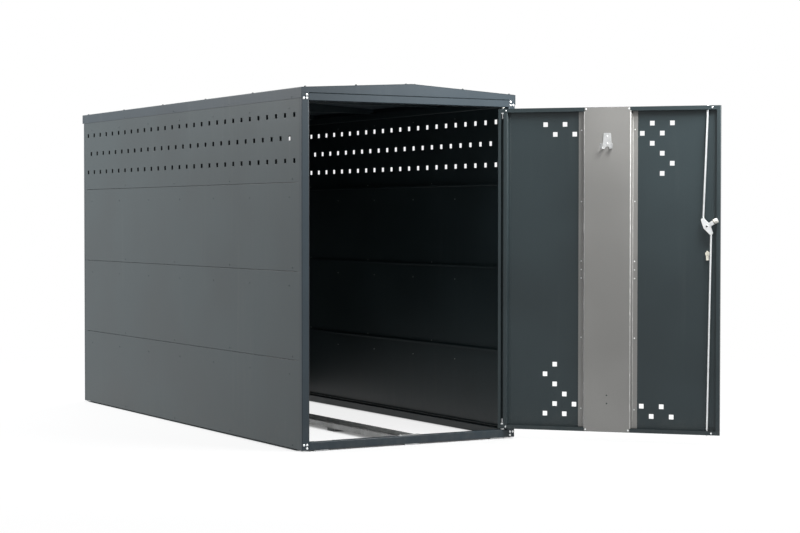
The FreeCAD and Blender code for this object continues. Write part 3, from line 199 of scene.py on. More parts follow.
def ramp(tree, value, low, high):
    """Value spread to 0..1 between low and high, with soft ends."""
    node = put(tree, "ShaderNodeMapRange", interpolation_type="SMOOTHSTEP")
    for label, source in (("Value", value), ("From Min", low), ("From Max", high)):
        if isinstance(source, (int, float)):
            node.inputs[label].default_value = source
        else:
            feed(tree, source, node.inputs[label])
    return node.outputs["Result"]


def stretched(tree, x=1.0, y=1.0, z=1.0):
    """Object coordinates scaled along each axis."""
    place = put(tree, "ShaderNodeTexCoord")
    mapping = put(tree, "ShaderNodeMapping")
    mapping.inputs["Scale"].default_value = (x, y, z)
    feed(tree, place.outputs["Object"], mapping.inputs["Vector"])
    return mapping.outputs["Vector"]


def make_orange_peel():
    """Fine texture of a sprayed powder coat: a height, a colour fleck and a slow change over the sheet."""
    group, have, give = new_group(
        "Orange peel",
        [("Grain", "NodeSocketFloat", 620.0), ("Sheet", "NodeSocketFloat", 2.2)],
        [("Height", "NodeSocketFloat"), ("Fleck", "NodeSocketFloat"), ("Cloud", "NodeSocketFloat")],
    )
    where = stretched(group)
    fine = noise(group, where, have.outputs["Grain"], 3.0, 0.6)
    broad = noise(group, where, maths(group, "MULTIPLY", have.outputs["Grain"], 0.22), 2.0, 0.5)
    height = maths(group, "ADD", maths(group, "MULTIPLY", fine, 0.55), maths(group, "MULTIPLY", broad, 0.45))
    feed(group, height, give.inputs["Height"])
    feed(group, ramp(group, fine, 0.35, 0.7), give.inputs["Fleck"])
    feed(group, noise(group, where, have.outputs["Sheet"], 2.0, 0.45), give.inputs["Cloud"])
    return group


def make_ground_dust():
    """Dust and splashes that fade out above the ground."""
    group, have, give = new_group(
        "Ground dust",
        [("Reach", "NodeSocketFloat", 0.16)],
        [("Mask", "NodeSocketFloat")],
    )
    where = stretched(group)
    split = put(group, "ShaderNodeSeparateXYZ")
    feed(group, where, split.inputs["Vector"])
    fade = maths(group, "SUBTRACT", 1.0, ramp(group, split.outputs["Z"], 0.0, have.outputs["Reach"]))
    patches = ramp(group, noise(group, where, 26.0, 5.0, 0.65), 0.36, 0.72)
    spots = ramp(group, noise(group, where, 240.0, 2.0, 0.5), 0.56, 0.74)
    marks = maths(group, "ADD", patches, maths(group, "MULTIPLY", spots, 0.6))
    feed(group, maths(group, "MULTIPLY", fade, marks, True), give.inputs["Mask"])
    return group


def make_rain_streaks():
    """Faint upright streaks that water leaves on a wall."""
    group, have, give = new_group(
        "Rain streaks",
        [("Across", "NodeSocketFloat", 1.0)],
        [("Mask", "NodeSocketFloat")],
    )
    where = stretched(group, 26.0, 26.0, 1.1)
    scaled = put(group, "ShaderNodeVectorMath", operation="SCALE")
    feed(group, where, scaled.inputs[0])
    feed(group, have.outputs["Across"], scaled.inputs["Scale"])
    lines = noise(group, scaled.outputs["Vector"], 1.0, 4.0, 0.6)
    patches = noise(group, stretched(group, 3.0, 3.0, 3.0), 1.0, 2.0, 0.5)
    feed(group, maths(group, "MULTIPLY", ramp(group, lines, 0.5, 0.78), ramp(group, patches, 0.4, 0.62)),
         give.inputs["Mask"])
    return group


def make_hairline():
    """Fine drawn or rolled lines along one axis, with a few deeper scratches."""
    group, have, give = new_group(
        "Hairline",
        [("Along X", "NodeSocketFloat", 1.0), ("Along Y", "NodeSocketFloat", 1.0),
         ("Along Z", "NodeSocketFloat", 1.0)],
        [("Height", "NodeSocketFloat"), ("Scratch", "NodeSocketFloat")],
    )
    place = put(group, "ShaderNodeTexCoord")
    scale = put(group, "ShaderNodeCombineXYZ")
    for axis in "XYZ":
        feed(group, have.outputs["Along " + axis], scale.inputs[axis])
    spread = put(group, "ShaderNodeVectorMath", operation="MULTIPLY")
    feed(group, place.outputs["Object"], spread.inputs[0])
    feed(group, scale.outputs["Vector"], spread.inputs[1])
    feed(group, noise(group, spread.outputs["Vector"], 1.0, 4.0, 0.65), give.inputs["Height"])
    feed(group, ramp(group, noise(group, spread.outputs["Vector"], 0.31, 6.0, 0.7), 0.62, 0.72),
         give.inputs["Scratch"])
    return group


def make_spangle():
    """The crystal patches of hot-dip zinc."""
    group, have, give = new_group(
        "Zinc spangle",
        [("Scale", "NodeSocketFloat", 110.0)],
        [("Tone", "NodeSocketFloat"), ("Height", "NodeSocketFloat")],
    )
    where = stretched(group)
    cells = put(group, "ShaderNodeTexVoronoi", feature="F1")
    feed(group, have.outputs["Scale"], cells.inputs["Scale"])
    feed(group, where, cells.inputs["Vector"])
    split = put(group, "ShaderNodeSeparateColor")
    feed(group, cells.outputs["Color"], split.inputs["Color"])
    small = noise(group, where, 900.0, 2.0, 0.5)
    tone = maths(group, "ADD", maths(group, "MULTIPLY", split.outputs["Red"], 0.75),
                 maths(group, "MULTIPLY", small, 0.25))
    feed(group, tone, give.inputs["Tone"])
    feed(group, maths(group, "ADD", split.outputs["Green"], maths(group, "MULTIPLY", small, 0.5)),
         give.inputs["Height"])
    return group


ORANGE_PEEL = make_orange_peel()
GROUND_DUST = make_ground_dust()
RAIN_STREAKS = make_rain_streaks()
HAIRLINE = make_hairline()
SPANGLE = make_spangle()


# Materials

def linear(red, green, blue):
    """A display colour in 0..255 as the linear colour that shaders take."""
    def one(value):
        value /= 255.0
        return value / 12.92 if value <= 0.04045 else ((value + 0.055) / 1.055) ** 2.4
    return (one(red), one(green), one(blue), 1.0)


# Wear of the coats, and painted highlights on their folds: colours, and shares from 0 to 1
STREAK_GREY = linear(122, 124, 122)
SOIL_BROWN = linear(140, 134, 124)
CHANNEL_SOIL = linear(128, 122, 112)
FLECK_SHARE = 0.5
CLOUD_SHADE = 0.86
CLOUD_SPREAD = 0.1
STREAK_SHARE = 0.06
SOIL_SHARE = 0.08
SOIL_DULL = 0.8
WEAR_AND_HIGHLIGHT_GAIN = 1.5
WORN_GAIN = 1.7
WEAR_AND_HIGHLIGHT_LIFT = 0.008
SCRATCH_SHADE = 0.6
PLATE_SPREAD = 0.18
LINE_DEPTH = 0.00012
ZINC_DARK = linear(174, 175, 174)
ZINC_LIGHT = linear(194, 195, 195)
ZINC_METAL = 0.6
ZINC_ROUGH = 0.34


def shaded(colour, gain, lift=0.0):
    """The colour made darker or lighter, at most white."""
    return tuple(min(1.0, c * gain + lift) for c in colour[:3]) + (1.0,)


def blank(name):
    material = bpy.data.materials.new(name)
    material.use_nodes = True
    return material, material.node_tree, material.node_tree.nodes["Principled BSDF"]


def use(tree, group, **values):
    node = put(tree, "ShaderNodeGroup", node_tree=group)
    for label, value in values.items():
        node.inputs[label.replace("_", " ")].default_value = value
    return node


def tint(tree, mask, base, over):
    """A colour that goes from base to over as the mask goes from 0 to 1; base may be a socket."""
    node = put(tree, "ShaderNodeMix", data_type="RGBA")
    feed(tree, mask, node.inputs["Factor"])
    for socket, colour in ((node.inputs[6], base), (node.inputs[7], over)):
        if isinstance(colour, tuple):
            socket.default_value = colour
        else:
            feed(tree, colour, socket)
    return node.outputs[2]


def around(tree, value, middle, spread):
    """A value from 0 to 1 spread evenly around the middle."""
    return maths(tree, "ADD", maths(tree, "MULTIPLY", value, spread), middle - spread / 2)


def raise_bumps(tree, shader, *layers):
    """Bump nodes in a row, each with (height, strength, distance in metres)."""
    normal = None
    for height, strength, distance in layers:
        bump = put(tree, "ShaderNodeBump")
        bump.inputs["Strength"].default_value = strength
        bump.inputs["Distance"].default_value = distance
        feed(tree, height, bump.inputs["Height"])
        if normal is not None:
            feed(tree, normal, bump.inputs["Normal"])
        normal = bump.outputs["Normal"]
    feed(tree, normal, shader.inputs["Normal"])


def powder_coat(name, colour, flecked, rough, dirty=1.0, grain=620.0, metal=0.0, index=1.4):
    """Textured powder coat with flecks, faint rain streaks and dust near the ground."""
    material, tree, shader = blank(name)
    peel = use(tree, ORANGE_PEEL, Grain=grain)
    dust = use(tree, GROUND_DUST)
    rain = use(tree, RAIN_STREAKS)
    body = tint(tree, maths(tree, "MULTIPLY", peel.outputs["Fleck"], FLECK_SHARE), colour, flecked)
    body = tint(tree, ramp(tree, peel.outputs["Cloud"], 0.62, 0.3), body, shaded(colour, CLOUD_SHADE))
    streak = maths(tree, "MULTIPLY", rain.outputs["Mask"], STREAK_SHARE * dirty)
    body = tint(tree, streak, body, STREAK_GREY)
    soil = maths(tree, "MULTIPLY", dust.outputs["Mask"], SOIL_SHARE * dirty)
    body = tint(tree, soil, body, SOIL_BROWN)
    feed(tree, body, shader.inputs["Base Color"])
    shine = around(tree, peel.outputs["Cloud"], rough, CLOUD_SPREAD)
    shine = maths(tree, "ADD", shine, maths(tree, "MULTIPLY", soil, SOIL_DULL), True)
    feed(tree, shine, shader.inputs["Roughness"])
    shader.inputs["Metallic"].default_value = metal
    shader.inputs["IOR"].default_value = index
    raise_bumps(tree, shader, (peel.outputs["Cloud"], 0.2, 0.003), (peel.outputs["Height"], 0.16, 0.0003))
    return material


def worn_and_highlit_edge(name, colour, rough):
    """A powder coat made lighter on a fold: rubbed wear in patches, and a painted highlight."""
    material, tree, shader = blank(name)
    peel = use(tree, ORANGE_PEEL, Grain=380.0)
    patches = ramp(tree, noise(tree, stretched(tree), 34.0, 4.0, 0.7), 0.42, 0.7)
    worn_and_highlit = shaded(colour, WEAR_AND_HIGHLIGHT_GAIN, WEAR_AND_HIGHLIGHT_LIFT)
    feed(tree, tint(tree, patches, colour, worn_and_highlit), shader.inputs["Base Color"])
    shine = maths(tree, "SUBTRACT", rough, maths(tree, "MULTIPLY", patches, 0.12))
    feed(tree, shine, shader.inputs["Roughness"])
    raise_bumps(tree, shader, (peel.outputs["Height"], 0.15, 0.0003))
    return material


def plated(name, colour, shade, rough, metal, lines=(60.0, 60.0, 900.0)):
    """Plated or polished metal with fine machining lines and cloudy tone."""
    material, tree, shader = blank(name)
    hair = use(tree, HAIRLINE, Along_X=lines[0], Along_Y=lines[1], Along_Z=lines[2])
    cloud = noise(tree, stretched(tree), 60.0, 4.0, 0.6)
    body = tint(tree, ramp(tree, cloud, 0.35, 0.7), colour, shade)
    scratch = maths(tree, "MULTIPLY", hair.outputs["Scratch"], 0.5)
    body = tint(tree, scratch, body, shaded(shade, SCRATCH_SHADE))
    feed(tree, body, shader.inputs["Base Color"])
    shader.inputs["Metallic"].default_value = metal
    feed(tree, around(tree, cloud, rough, PLATE_SPREAD), shader.inputs["Roughness"])
    raise_bumps(tree, shader, (hair.outputs["Height"], 0.3, LINE_DEPTH))
    return material


def hot_dip_zinc(name):
    """Zinc in crystal patches, dulled by dust near the ground."""
    material, tree, shader = blank(name)
    spangle = use(tree, SPANGLE, Scale=95.0)
    dust = use(tree, GROUND_DUST, Reach=0.06)
    body = tint(tree, spangle.outputs["Tone"], ZINC_DARK, ZINC_LIGHT)
    soil = maths(tree, "MULTIPLY", dust.outputs["Mask"], 0.4)
    body = tint(tree, soil, body, CHANNEL_SOIL)
    feed(tree, body, shader.inputs["Base Color"])
    feed(tree, maths(tree, "SUBTRACT", ZINC_METAL, soil), shader.inputs["Metallic"])
    shine = maths(tree, "ADD", maths(tree, "MULTIPLY", spangle.outputs["Tone"], 0.2), ZINC_ROUGH)
    feed(tree, shine, shader.inputs["Roughness"])
    raise_bumps(tree, shader, (spangle.outputs["Height"], 0.12, 0.0002))
    return material


def moulded(name, colour, rough, grain=900.0, depth=0.0002, gloss=0.5):
    """Moulded plastic or rubber with a fine eroded skin; gloss is how much light its surface mirrors."""
    material, tree, shader = blank(name)
    peel = use(tree, ORANGE_PEEL, Grain=grain, Sheet=22.0)
    worn = shaded(colour, WORN_GAIN, WEAR_AND_HIGHLIGHT_LIFT)
    worn_and_highlit = ramp(tree, peel.outputs["Cloud"], 0.45, 0.75)
    feed(tree, tint(tree, maths(tree, "MULTIPLY", worn_and_highlit, 0.5), colour, worn), shader.inputs["Base Color"])
    shine = maths(tree, "SUBTRACT", rough, maths(tree, "MULTIPLY", worn_and_highlit, 0.1))
    feed(tree, shine, shader.inputs["Roughness"])
    shader.inputs["Specular IOR Level"].default_value = gloss
    raise_bumps(tree, shader, (peel.outputs["Height"], 0.35, depth))
    return material


ANTHRACITE = linear(46, 57, 60)
ANTHRACITE_FLECK = linear(59, 71, 74)
FRAME_SHADE = linear(43, 54, 61)
FRAME_FLECK = linear(55, 67, 74)
STIFFENER_GREY = linear(146, 145, 142)
STIFFENER_FLECK = linear(167, 166, 163)

MATERIALS = {
    "powder_coat": powder_coat("anthracite_powder_coat", ANTHRACITE, ANTHRACITE_FLECK, 0.4),
    "frame_coat": powder_coat("frame_powder_coat", FRAME_SHADE, FRAME_FLECK, 0.36),
    "roof_coat": powder_coat("roof_powder_coat", FRAME_SHADE, FRAME_FLECK, 0.5, dirty=2.0),
    # Rubbed wear and a painted highlight: a lighter coat on the anthracite sheets' rolled edges
    "worn_and_highlit": worn_and_highlit_edge("anthracite_folds_worn_and_highlit", ANTHRACITE, 0.36),
    # Painted seam shade: a darker, dull frame coat for the bends and edges of the header and gables
    "seam_shade": moulded("frame_coat_painted_seam_shade", linear(30, 37, 41), 0.75, grain=620.0, gloss=0.05),
    "stiffener_coat": powder_coat("light_grey_powder_coat", STIFFENER_GREY, STIFFENER_FLECK, 0.36,
                                  dirty=0.3, grain=900.0, metal=0.25),
    # Painted highlight: a far lighter coat on the stiffener's bends and rolled edges
    "stiffener_painted_highlight": worn_and_highlit_edge("light_grey_painted_fold_highlight", linear(206, 205, 202), 0.26),
    "galvanised": hot_dip_zinc("hot_dip_zinc"),
    # Painted shade: dark lines on the wheel channel's bends and rolled edges
    "zinc_painted_shade": moulded("painted_shade_on_zinc_folds", linear(44, 45, 46), 0.6, grain=400.0),
    "zinc_bright": plated("bright_zinc_plate", linear(240, 242, 243), linear(226, 228, 228), 0.34, 0.75),
    "hook_zinc": plated("dull_zinc_plate", linear(206, 207, 207), linear(188, 190, 190), 0.36, 0.6),
    "lock_nickel": plated("satin_nickel", linear(248, 245, 232), linear(234, 230, 214), 0.3, 0.6,
                          lines=(700.0, 700.0, 60.0)),
    "handle_black": moulded("handle_black", linear(30, 31, 33), 0.42),
    # Dark guide plastic, also laid as painted shade in the cam screw's socket and the roller's groove
    "pad_plastic": moulded("guide_plastic_and_painted_shade", linear(36, 37, 38), 0.6, grain=700.0),
    "packer_grey": moulded("packer_plastic", linear(172, 173, 174), 0.6, grain=700.0),
    "bush_plastic": moulded("bush_plastic", linear(226, 224, 214), 0.4),
    "seal_rubber": moulded("seal_rubber", linear(24, 24, 25), 0.68, grain=500.0, depth=0.0003),
}


# Meshes

def new_piece(name, mesh, material, body):
    """A new object that wears the material and rides on the body."""
    piece = bpy.data.objects.new(name, mesh)
    bpy.context.scene.collection.objects.link(piece)
    mesh.materials.append(material)
    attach(piece, body)
    return piece


def smooth(mesh, angle):
    """Smooth shading with sharp edges above the angle."""
    mesh.polygons.foreach_set("use_smooth", [True] * len(mesh.polygons))
    shell = bmesh.new()
    shell.from_mesh(mesh)
    limit = math.radians(angle)
    for edge in shell.edges:
        edge.smooth = len(edge.link_faces) == 2 and edge.calc_face_angle(0.0) < limit
    shell.to_mesh(mesh)
    shell.free()


def is_strip(face):
    """True for the narrow facets that bends, bars and rims are made of, false for a sheet's flat faces."""
    return face.calc_area() < STRIP * max(edge.calc_length() for edge in face.edges)


def rolled(node, coat, edge_coat, width, rounds=2, bends=False):
    """The node's own shape with its folds and cut edges rolled, in the given coat.

    Flat sheets are shaded flat, and only bends, bars and the rolled edges are shaded round. The edge coat is
    on the rolled edges, and on the sheet's bends too where bends is set.
    """
    shell = bmesh.new()
    shell.from_mesh(nodes[node].data)
    bmesh.ops.remove_doubles(shell, verts=shell.verts, dist=MERGE)
    bmesh.ops.dissolve_limit(shell, angle_limit=math.radians(SAME_PLANE), verts=shell.verts,
                             edges=shell.edges)
    corners = []
    for face in shell.faces:
        face.smooth = False
        face.material_index = 0
    for edge in shell.edges:
        if len(edge.link_faces) != 2:
            continue
        turn = math.degrees(edge.calc_face_angle(0.0))
        if turn > SHARP_FOLD:
            corners.append(edge)
        elif turn > FLAT_FOLD:
            for face in edge.link_faces:
                face.smooth = face.smooth or is_strip(face)
    made = bmesh.ops.bevel(shell, geom=corners, offset=width, offset_type="OFFSET", segments=rounds,
                           profile=0.5, affect="EDGES", clamp_overlap=True, material=1)
    for face in made["faces"]:
        face.smooth = True
    if bends:
        for face in shell.faces:
            face.material_index = int(face.smooth)
    mesh = bpy.data.meshes.new(node + "_finished")
    shell.to_mesh(mesh)
    shell.free()
    piece = new_piece(node + "_finished", mesh, MATERIALS[coat], BODY_OF[node])
    mesh.materials.append(MATERIALS[edge_coat])
    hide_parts(node)


def loose_parts(node):
    """The separate solids of a node in the mesh's own order, each as a list of its vertices' places."""
    shell = bmesh.new()
    shell.from_mesh(nodes[node].data)
    bmesh.ops.remove_doubles(shell, verts=shell.verts, dist=PART_MERGE)
    left = set(shell.verts)
    parts = []
    for seed in shell.verts:
        if seed not in left:
            continue
        left.discard(seed)
        front = [seed]
        part = []
        while front:
            vert = front.pop()
            part.append(vert.co.copy())
            for edge in vert.link_edges:
                other = edge.other_vert(vert)
                if other in left:
                    left.discard(other)
                    front.append(other)
        parts.append(part)
    shell.free()
    return parts


def seat_of(part, out, height):
    """Where a fastener's head stands, and its radius: part is its vertices, out its direction."""
    highest = max(p.dot(out) for p in part)
    flat = [p - out * p.dot(out) for p in part]
    side = out.orthogonal().normalized()
    cross = out.cross(side)
    spans = []
    centre = Vector()
    for axis in (side, cross):
        low, high = min(p.dot(axis) for p in flat), max(p.dot(axis) for p in flat)
        centre += axis * (low + high) / 2
        spans.append(high - low)
    return centre + out * (highest - height), max(spans) / 2


def six_lobes(turn):
    """How far a six-lobed drive reaches at this angle, as a share of its radius."""
    return 1.0 + LOBE_DEPTH * math.cos(6 * turn)


def hexagon(turn):
    """How far a hexagon reaches at this angle, as a share of its inner radius."""
    sector = math.pi / 3
    return 1.0 / math.cos((turn % sector) - sector / 2)


def bridge(shell, lower, upper):
    """Faces between two rings of as many vertices."""
    for step in range(len(lower)):
        after = (step + 1) % len(lower)
        shell.faces.new((lower[step], lower[after], upper[after], upper[step]))


def fan(shell, ring, tip):
    """Faces from a ring to a single vertex."""
    for step in range(len(ring)):
        shell.faces.new((ring[step], ring[(step + 1) % len(ring)], tip))


def turned(shell, profile, place, steps=24, drive=None, drive_rings=()):
    """Adds a turned form to the mesh: profile is (radius, height) from its foot to its crown.

    The rings that drive_rings names follow the drive's outline instead of a circle. Only the last ring may
    have no radius.
    """
    rings = []
    for index, (radius, height) in enumerate(profile):
        if radius <= 0:
            rings.append([shell.verts.new(place @ Vector((0, 0, height)))])
            continue
        ring = []
        for step in range(steps):
            turn = 2 * math.pi * step / steps
            wave = drive(turn) if index in drive_rings else 1.0
            ring.append(shell.verts.new(place @ Vector((radius * wave * math.cos(turn),
                                                        radius * wave * math.sin(turn), height))))
        rings.append(ring)
    for lower, upper in zip(rings, rings[1:]):
        if len(upper) == 1:
            fan(shell, lower, upper[0])
        else:
            bridge(shell, lower, upper)


def stand(base, out, turn=0.0):
    """The transform that stands a form on base, pointing out."""
    lift = UP.rotation_difference(out).to_matrix().to_4x4()
    return Matrix.Translation(base) @ lift @ Matrix.Rotation(turn, 4, "Z")


def screw_profile(radius, height):
    """A pan head with a rolled rim, a domed crown and a six-lobed drive."""
    drive = radius * 0.36
    return [
        (radius * 0.9, 0.0), (radius, height * 0.16), (radius * 0.985, height * 0.42),
        (radius * 0.9, height * 0.68), (radius * 0.72, height * 0.87), (radius * 0.52, height * 0.97),
        (drive * 1.12, height), (drive, height * 0.96), (drive * 0.94, height * 0.45), (0.0, height * 0.4),
    ]


def rivet_profile(radius, height):
    """A domed rivet head with the small hollow that the pulled mandrel leaves."""
    return [
        (radius, 0.0), (radius * 0.99, height * 0.2), (radius * 0.86, height * 0.58),
        (radius * 0.62, height * 0.9), (radius * 0.4, height), (radius * 0.3, height * 0.97),
        (radius * 0.26, height * 0.72), (0.0, height * 0.66),
    ]


def washer_profile(radius, height):
    return [(radius * 0.5, 0.0), (radius, 0.0), (radius, height * 0.75), (radius * 0.93, height),
            (radius * 0.5, height)]


def finish_mesh(shell, name, angle=32.0):
    bmesh.ops.recalc_face_normals(shell, faces=shell.faces)
    mesh = bpy.data.meshes.new(name)
    shell.to_mesh(mesh)
    shell.free()
    smooth(mesh, angle)
    return mesh


def fasteners(node, way_of, height, kind, coat, washer=0.0, sink=0.0, tall=None):
    """Turned heads in the places of a node's solids, with a sealing washer under each where asked.

    height is that of the solids' heads, and tall gives the height to make at a place, where it differs.
    """
    heads = bmesh.new()
    washers = bmesh.new()
    for number, part in enumerate(loose_parts(node)):
        middle = sum(part, Vector()) / len(part)
        out = way_of(middle)
        base, radius = seat_of(part, out, height)
        place = stand(base - out * sink, out, number * DRIVE_TURN)
        crown = tall(middle) if tall else height
        rise = 0.0
        if washer:
            turned(washers, washer_profile(radius, washer), place)
            rise = washer
        shift = place @ Matrix.Translation((0, 0, rise))
        if kind == "screw":
            reach = radius * (HEAD_ON_WASHER if washer else 1.0)
            turned(heads, screw_profile(reach, crown - rise), shift, drive=six_lobes, drive_rings=(6, 7, 8))
        else:
            turned(heads, rivet_profile(radius, crown - rise), shift)
    body = BODY_OF[node]
    piece = new_piece(node + "_heads", finish_mesh(heads, node + "_heads"), MATERIALS[coat], body)
    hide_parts(node)
    if washer:
        new_piece(node + "_washers", finish_mesh(washers, node + "_washers"), MATERIALS["seal_rubber"], body)
    else:
        washers.free()


def bead(shell, start, end, out):
    """A flattened weld bead from start to end, with overlapping ripples; it stands proud of the sheet."""
    way = (end - start).normalized()
    length = (end - start).length
    side = way.cross(out)
    count = max(RIPPLE_STEPS, int(length / BEAD_PITCH * RIPPLE_STEPS))
    last = None
    for index in range(count + 1):
        along = length * index / count
        ripple = 0.8 + 0.2 * abs(math.sin(math.pi * along / BEAD_PITCH))
        taper = min(1.0, 0.3 + min(along, length - along) / BEAD_RADIUS)
        middle = start + way * along
        ring = []
        for step in range(BEAD_SIDES):
            turn = 2 * math.pi * step / BEAD_SIDES
            ring.append(shell.verts.new(middle + side * math.cos(turn) * BEAD_RADIUS * ripple * taper
                                        + out * math.sin(turn) * BEAD_PROUD * ripple * taper))
        if last:
            bridge(shell, last, ring)
        else:
            shell.faces.new(ring[::-1])
        last = ring
    shell.faces.new(last)


# Folded sheets of the frame, the walls, the roof and the door

# The anthracite sheets' rolled edges wear a lighter edge coat: rubbed wear and a painted highlight.
FRAME = (
    "front_sill", "front_post_left", "front_post_right", "rear_post_left", "rear_post_right", "rear_sill",
)
for node in FRAME:
    rolled(node, "frame_coat", "worn_and_highlit", FRAME_EDGE, 3)
# The header's and gables' bends and rolled edges wear a painted seam shade: a darker, dull coat.
for node in ("front_header", "rear_header", "gable_front", "gable_rear"):
    rolled(node, "frame_coat", "seam_shade", FRAME_EDGE, 3, bends=True)

for node in ("roof_sheet_left", "roof_sheet_right"):
    rolled(node, "roof_coat", "worn_and_highlit", ROOF_EDGE, 3)

WALLS = ["bottom_rail_left", "bottom_rail_right", "top_rail_left", "top_rail_right", "corner_gussets",
         "roof_bearers"]
WALLS += [f"{side}_panel_{index}" for side in ("left", "right", "rear") for index in (1, 2, 3, 4)]
for node in WALLS:
    rolled(node, "powder_coat", "worn_and_highlit", SHEET_EDGE)

for node in ("door_skin", "hinge_stile", "lock_strip"):
    rolled(node, "powder_coat", "worn_and_highlit", SHEET_EDGE)
# The stiffener's bends and rolled edges wear a painted highlight, far lighter than its own coat.
rolled("door_stiffener", "stiffener_coat", "stiffener_painted_highlight", STIFFENER_EDGE, 3, bends=True)

# The channel's bends and rolled edges wear painted shade: dark lines along its folds.
rolled("wheel_channel", "galvanised", "zinc_painted_shade", FRAME_EDGE, bends=True)
rolled("channel_brackets", "galvanised", "galvanised", SHEET_EDGE)

ZINC_PLATED = (
    "hinge_pins", "hinge_blocks", "lock_spindle", "lock_cam", "pivot_pins", "upper_rod", "lower_rod",
)
for node in ZINC_PLATED:
    rolled(node, "zinc_bright", "zinc_bright", METAL_EDGE)
rolled("helmet_hook", "hook_zinc", "zinc_bright", METAL_EDGE)

for node in ("cylinder_body", "cylinder_plug"):
    rolled(node, "lock_nickel", "lock_nickel", CYLINDER_EDGE)

for node in ("handle_plate", "handle_hub"):
    rolled(node, "handle_black", "handle_black", MOULDED_EDGE, 3)

rolled("rod_guides", "pad_plastic", "pad_plastic", MOULDED_EDGE)
rolled("base_pads", "packer_grey", "packer_grey", MOULDED_EDGE)
for node in ("hinge_bushes", "spindle_bush"):
    rolled(node, "bush_plastic", "bush_plastic", METAL_EDGE)


# Fasteners

def frame_way(middle):
    """The corner screws point forward; those of the channel's brackets stand in the middle and point up."""
    return UP if abs(middle.x) < CHANNEL_ZONE else Vector((0, -1, 0))


def roof_way(middle):
    slope = ROOF_RISE / WALL_FACE
    return Vector((math.copysign(slope, middle.x), 0, 1)).normalized()


def roof_head(middle):
    """Roof screws have high heads, but for the flatter ones beside the ridge."""
    return ROOF_HEAD if abs(middle.x) > RIDGE_ZONE else SCREW_HEIGHT


def wall_way(middle):
    return Vector((math.copysign(1, middle.x), 0, 0))


def door_way(middle):
    return INWARD


fasteners("frame_screws", frame_way, SCREW_HEIGHT, "screw", "zinc_bright")
fasteners("roof_screws", roof_way, SCREW_HEIGHT, "screw", "handle_black",
          washer=SEAL_WASHER, sink=ROOF_SINK, tall=roof_head)
fasteners("panel_rivets", wall_way, RIVET_HEIGHT, "rivet", "powder_coat")
fasteners("door_rivets", door_way, RIVET_HEIGHT, "rivet", "zinc_bright")


def tail_profile(radius, height):
    """The squeezed tail of a blind rivet, with the broken mandrel in its middle."""
    return [
        (radius * 0.8, 0.0), (radius, height * 0.25), (radius * 0.96, height * 0.7),
        (radius * 0.7, height * 0.95), (radius * 0.4, height * 0.9), (radius * 0.36, height * 1.1),
        (0.0, height * 1.14),
    ]


def rivet_tails():
    """The tails of the wall rivets on the inner faces, but for those that the rails cover."""
    shell = bmesh.new()
    top = max((nodes["panel_rivets"].matrix_world @ v.co).z for v in nodes["panel_rivets"].data.vertices)
    for part in loose_parts("panel_rivets"):
        middle = sum(part, Vector()) / len(part)
        if middle.z < RAIL_REACH or middle.z > top - RAIL_REACH:
            continue
        inward = -wall_way(middle)
        base = Vector((math.copysign(WALL_FACE - WALL_SKIN, middle.x), middle.y, middle.z))
        turned(shell, tail_profile(TAIL_RADIUS, TAIL_HEIGHT), stand(base, inward), steps=14)
    new_piece("wall_rivet_tails", finish_mesh(shell, "wall_rivet_tails"), MATERIALS["zinc_bright"], "root")


def rear_rivets():
    """Rivets of the rear wall: down both edges of its panels, and three at each corner of the rear frame."""
    shell = bmesh.new()
    out = Vector((0, 1, 0))
    places = []
    for index in (1, 2, 3, 4):
        low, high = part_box(f"rear_panel_{index}")
        for side in (low.x + REAR_RIVET_IN, high.x - REAR_RIVET_IN):
            for height in (low.z + REAR_RIVET_IN, high.z - 4 * REAR_RIVET_IN):
                places.append((side, height))
        for share in (0.25, 0.5, 0.75):
            places.append((low.x + (high.x - low.x) * share, low.z + REAR_RIVET_IN))
    low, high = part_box("rear_post_left")
    for across, up in ((CORNER_NEAR, CORNER_FAR), (CORNER_FAR, CORNER_FAR), (CORNER_FAR, CORNER_NEAR)):
        for side in (-1, 1):
            places.append((side * (WALL_FACE - across), low.z + up))
            places.append((side * (WALL_FACE - across), high.z - up))
    for x, z in places:
        place = stand(Vector((x, REAR_FACE, z)), out, x * REAR_RIVET_TURN)
        turned(shell, rivet_profile(RIVET_RADIUS, RIVET_HEIGHT), place, steps=18)
    new_piece("rear_rivets", finish_mesh(shell, "rear_rivets"), MATERIALS["frame_coat"], "root")


rivet_tails()
rear_rivets()


# Lock, lever and door corners

def reach_along(node, axis, place):
    """How far the node reaches along the axis from a place on it, and how far out from the axis."""
    along = []
    across = []
    for vert in nodes[node].data.vertices:
        arm = nodes[node].matrix_world @ vert.co - place
        along.append(arm.dot(axis))
        across.append((arm - axis * arm.dot(axis)).length)
    return min(along), max(along), min(across), max(across)


def paint_shade_on(piece, first, last, coat):
    """Gives the faces from first to last of a turned form a second, dark coat as painted shade in a recess.
    """
    piece.data.materials.append(MATERIALS[coat])
    for face in piece.data.polygons[first:last]:
        face.material_index = 1


def socket_screw():
    """The cap screw on the cam, with a rolled rim and a hexagon socket painted dark as its shade."""
    foot, head, _, radius = reach_along("cam_screw", INWARD, SPINDLE)
    height = head - foot
    profile = [
        (radius * 0.97, 0.0), (radius, height * 0.12), (radius, height * 0.8), (radius * 0.9, height),
        (SOCKET_RIM, height), (SOCKET_RADIUS, height * 0.94), (SOCKET_RADIUS, height * 0.4),
        (0.0, height * 0.34),
    ]
    steps = 48
    shell = bmesh.new()
    turned(shell, profile, stand(SPINDLE + INWARD * foot, INWARD), steps=steps, drive=hexagon,
           drive_rings=(5, 6))
    piece = new_piece("cam_cap_screw", finish_mesh(shell, "cam_cap_screw"), MATERIALS["zinc_bright"],
                      BODY_OF["cam_screw"])
    # The socket's inside is painted dark as shade.
    paint_shade_on(piece, 4 * steps, None, "pad_plastic")
    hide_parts("cam_screw")


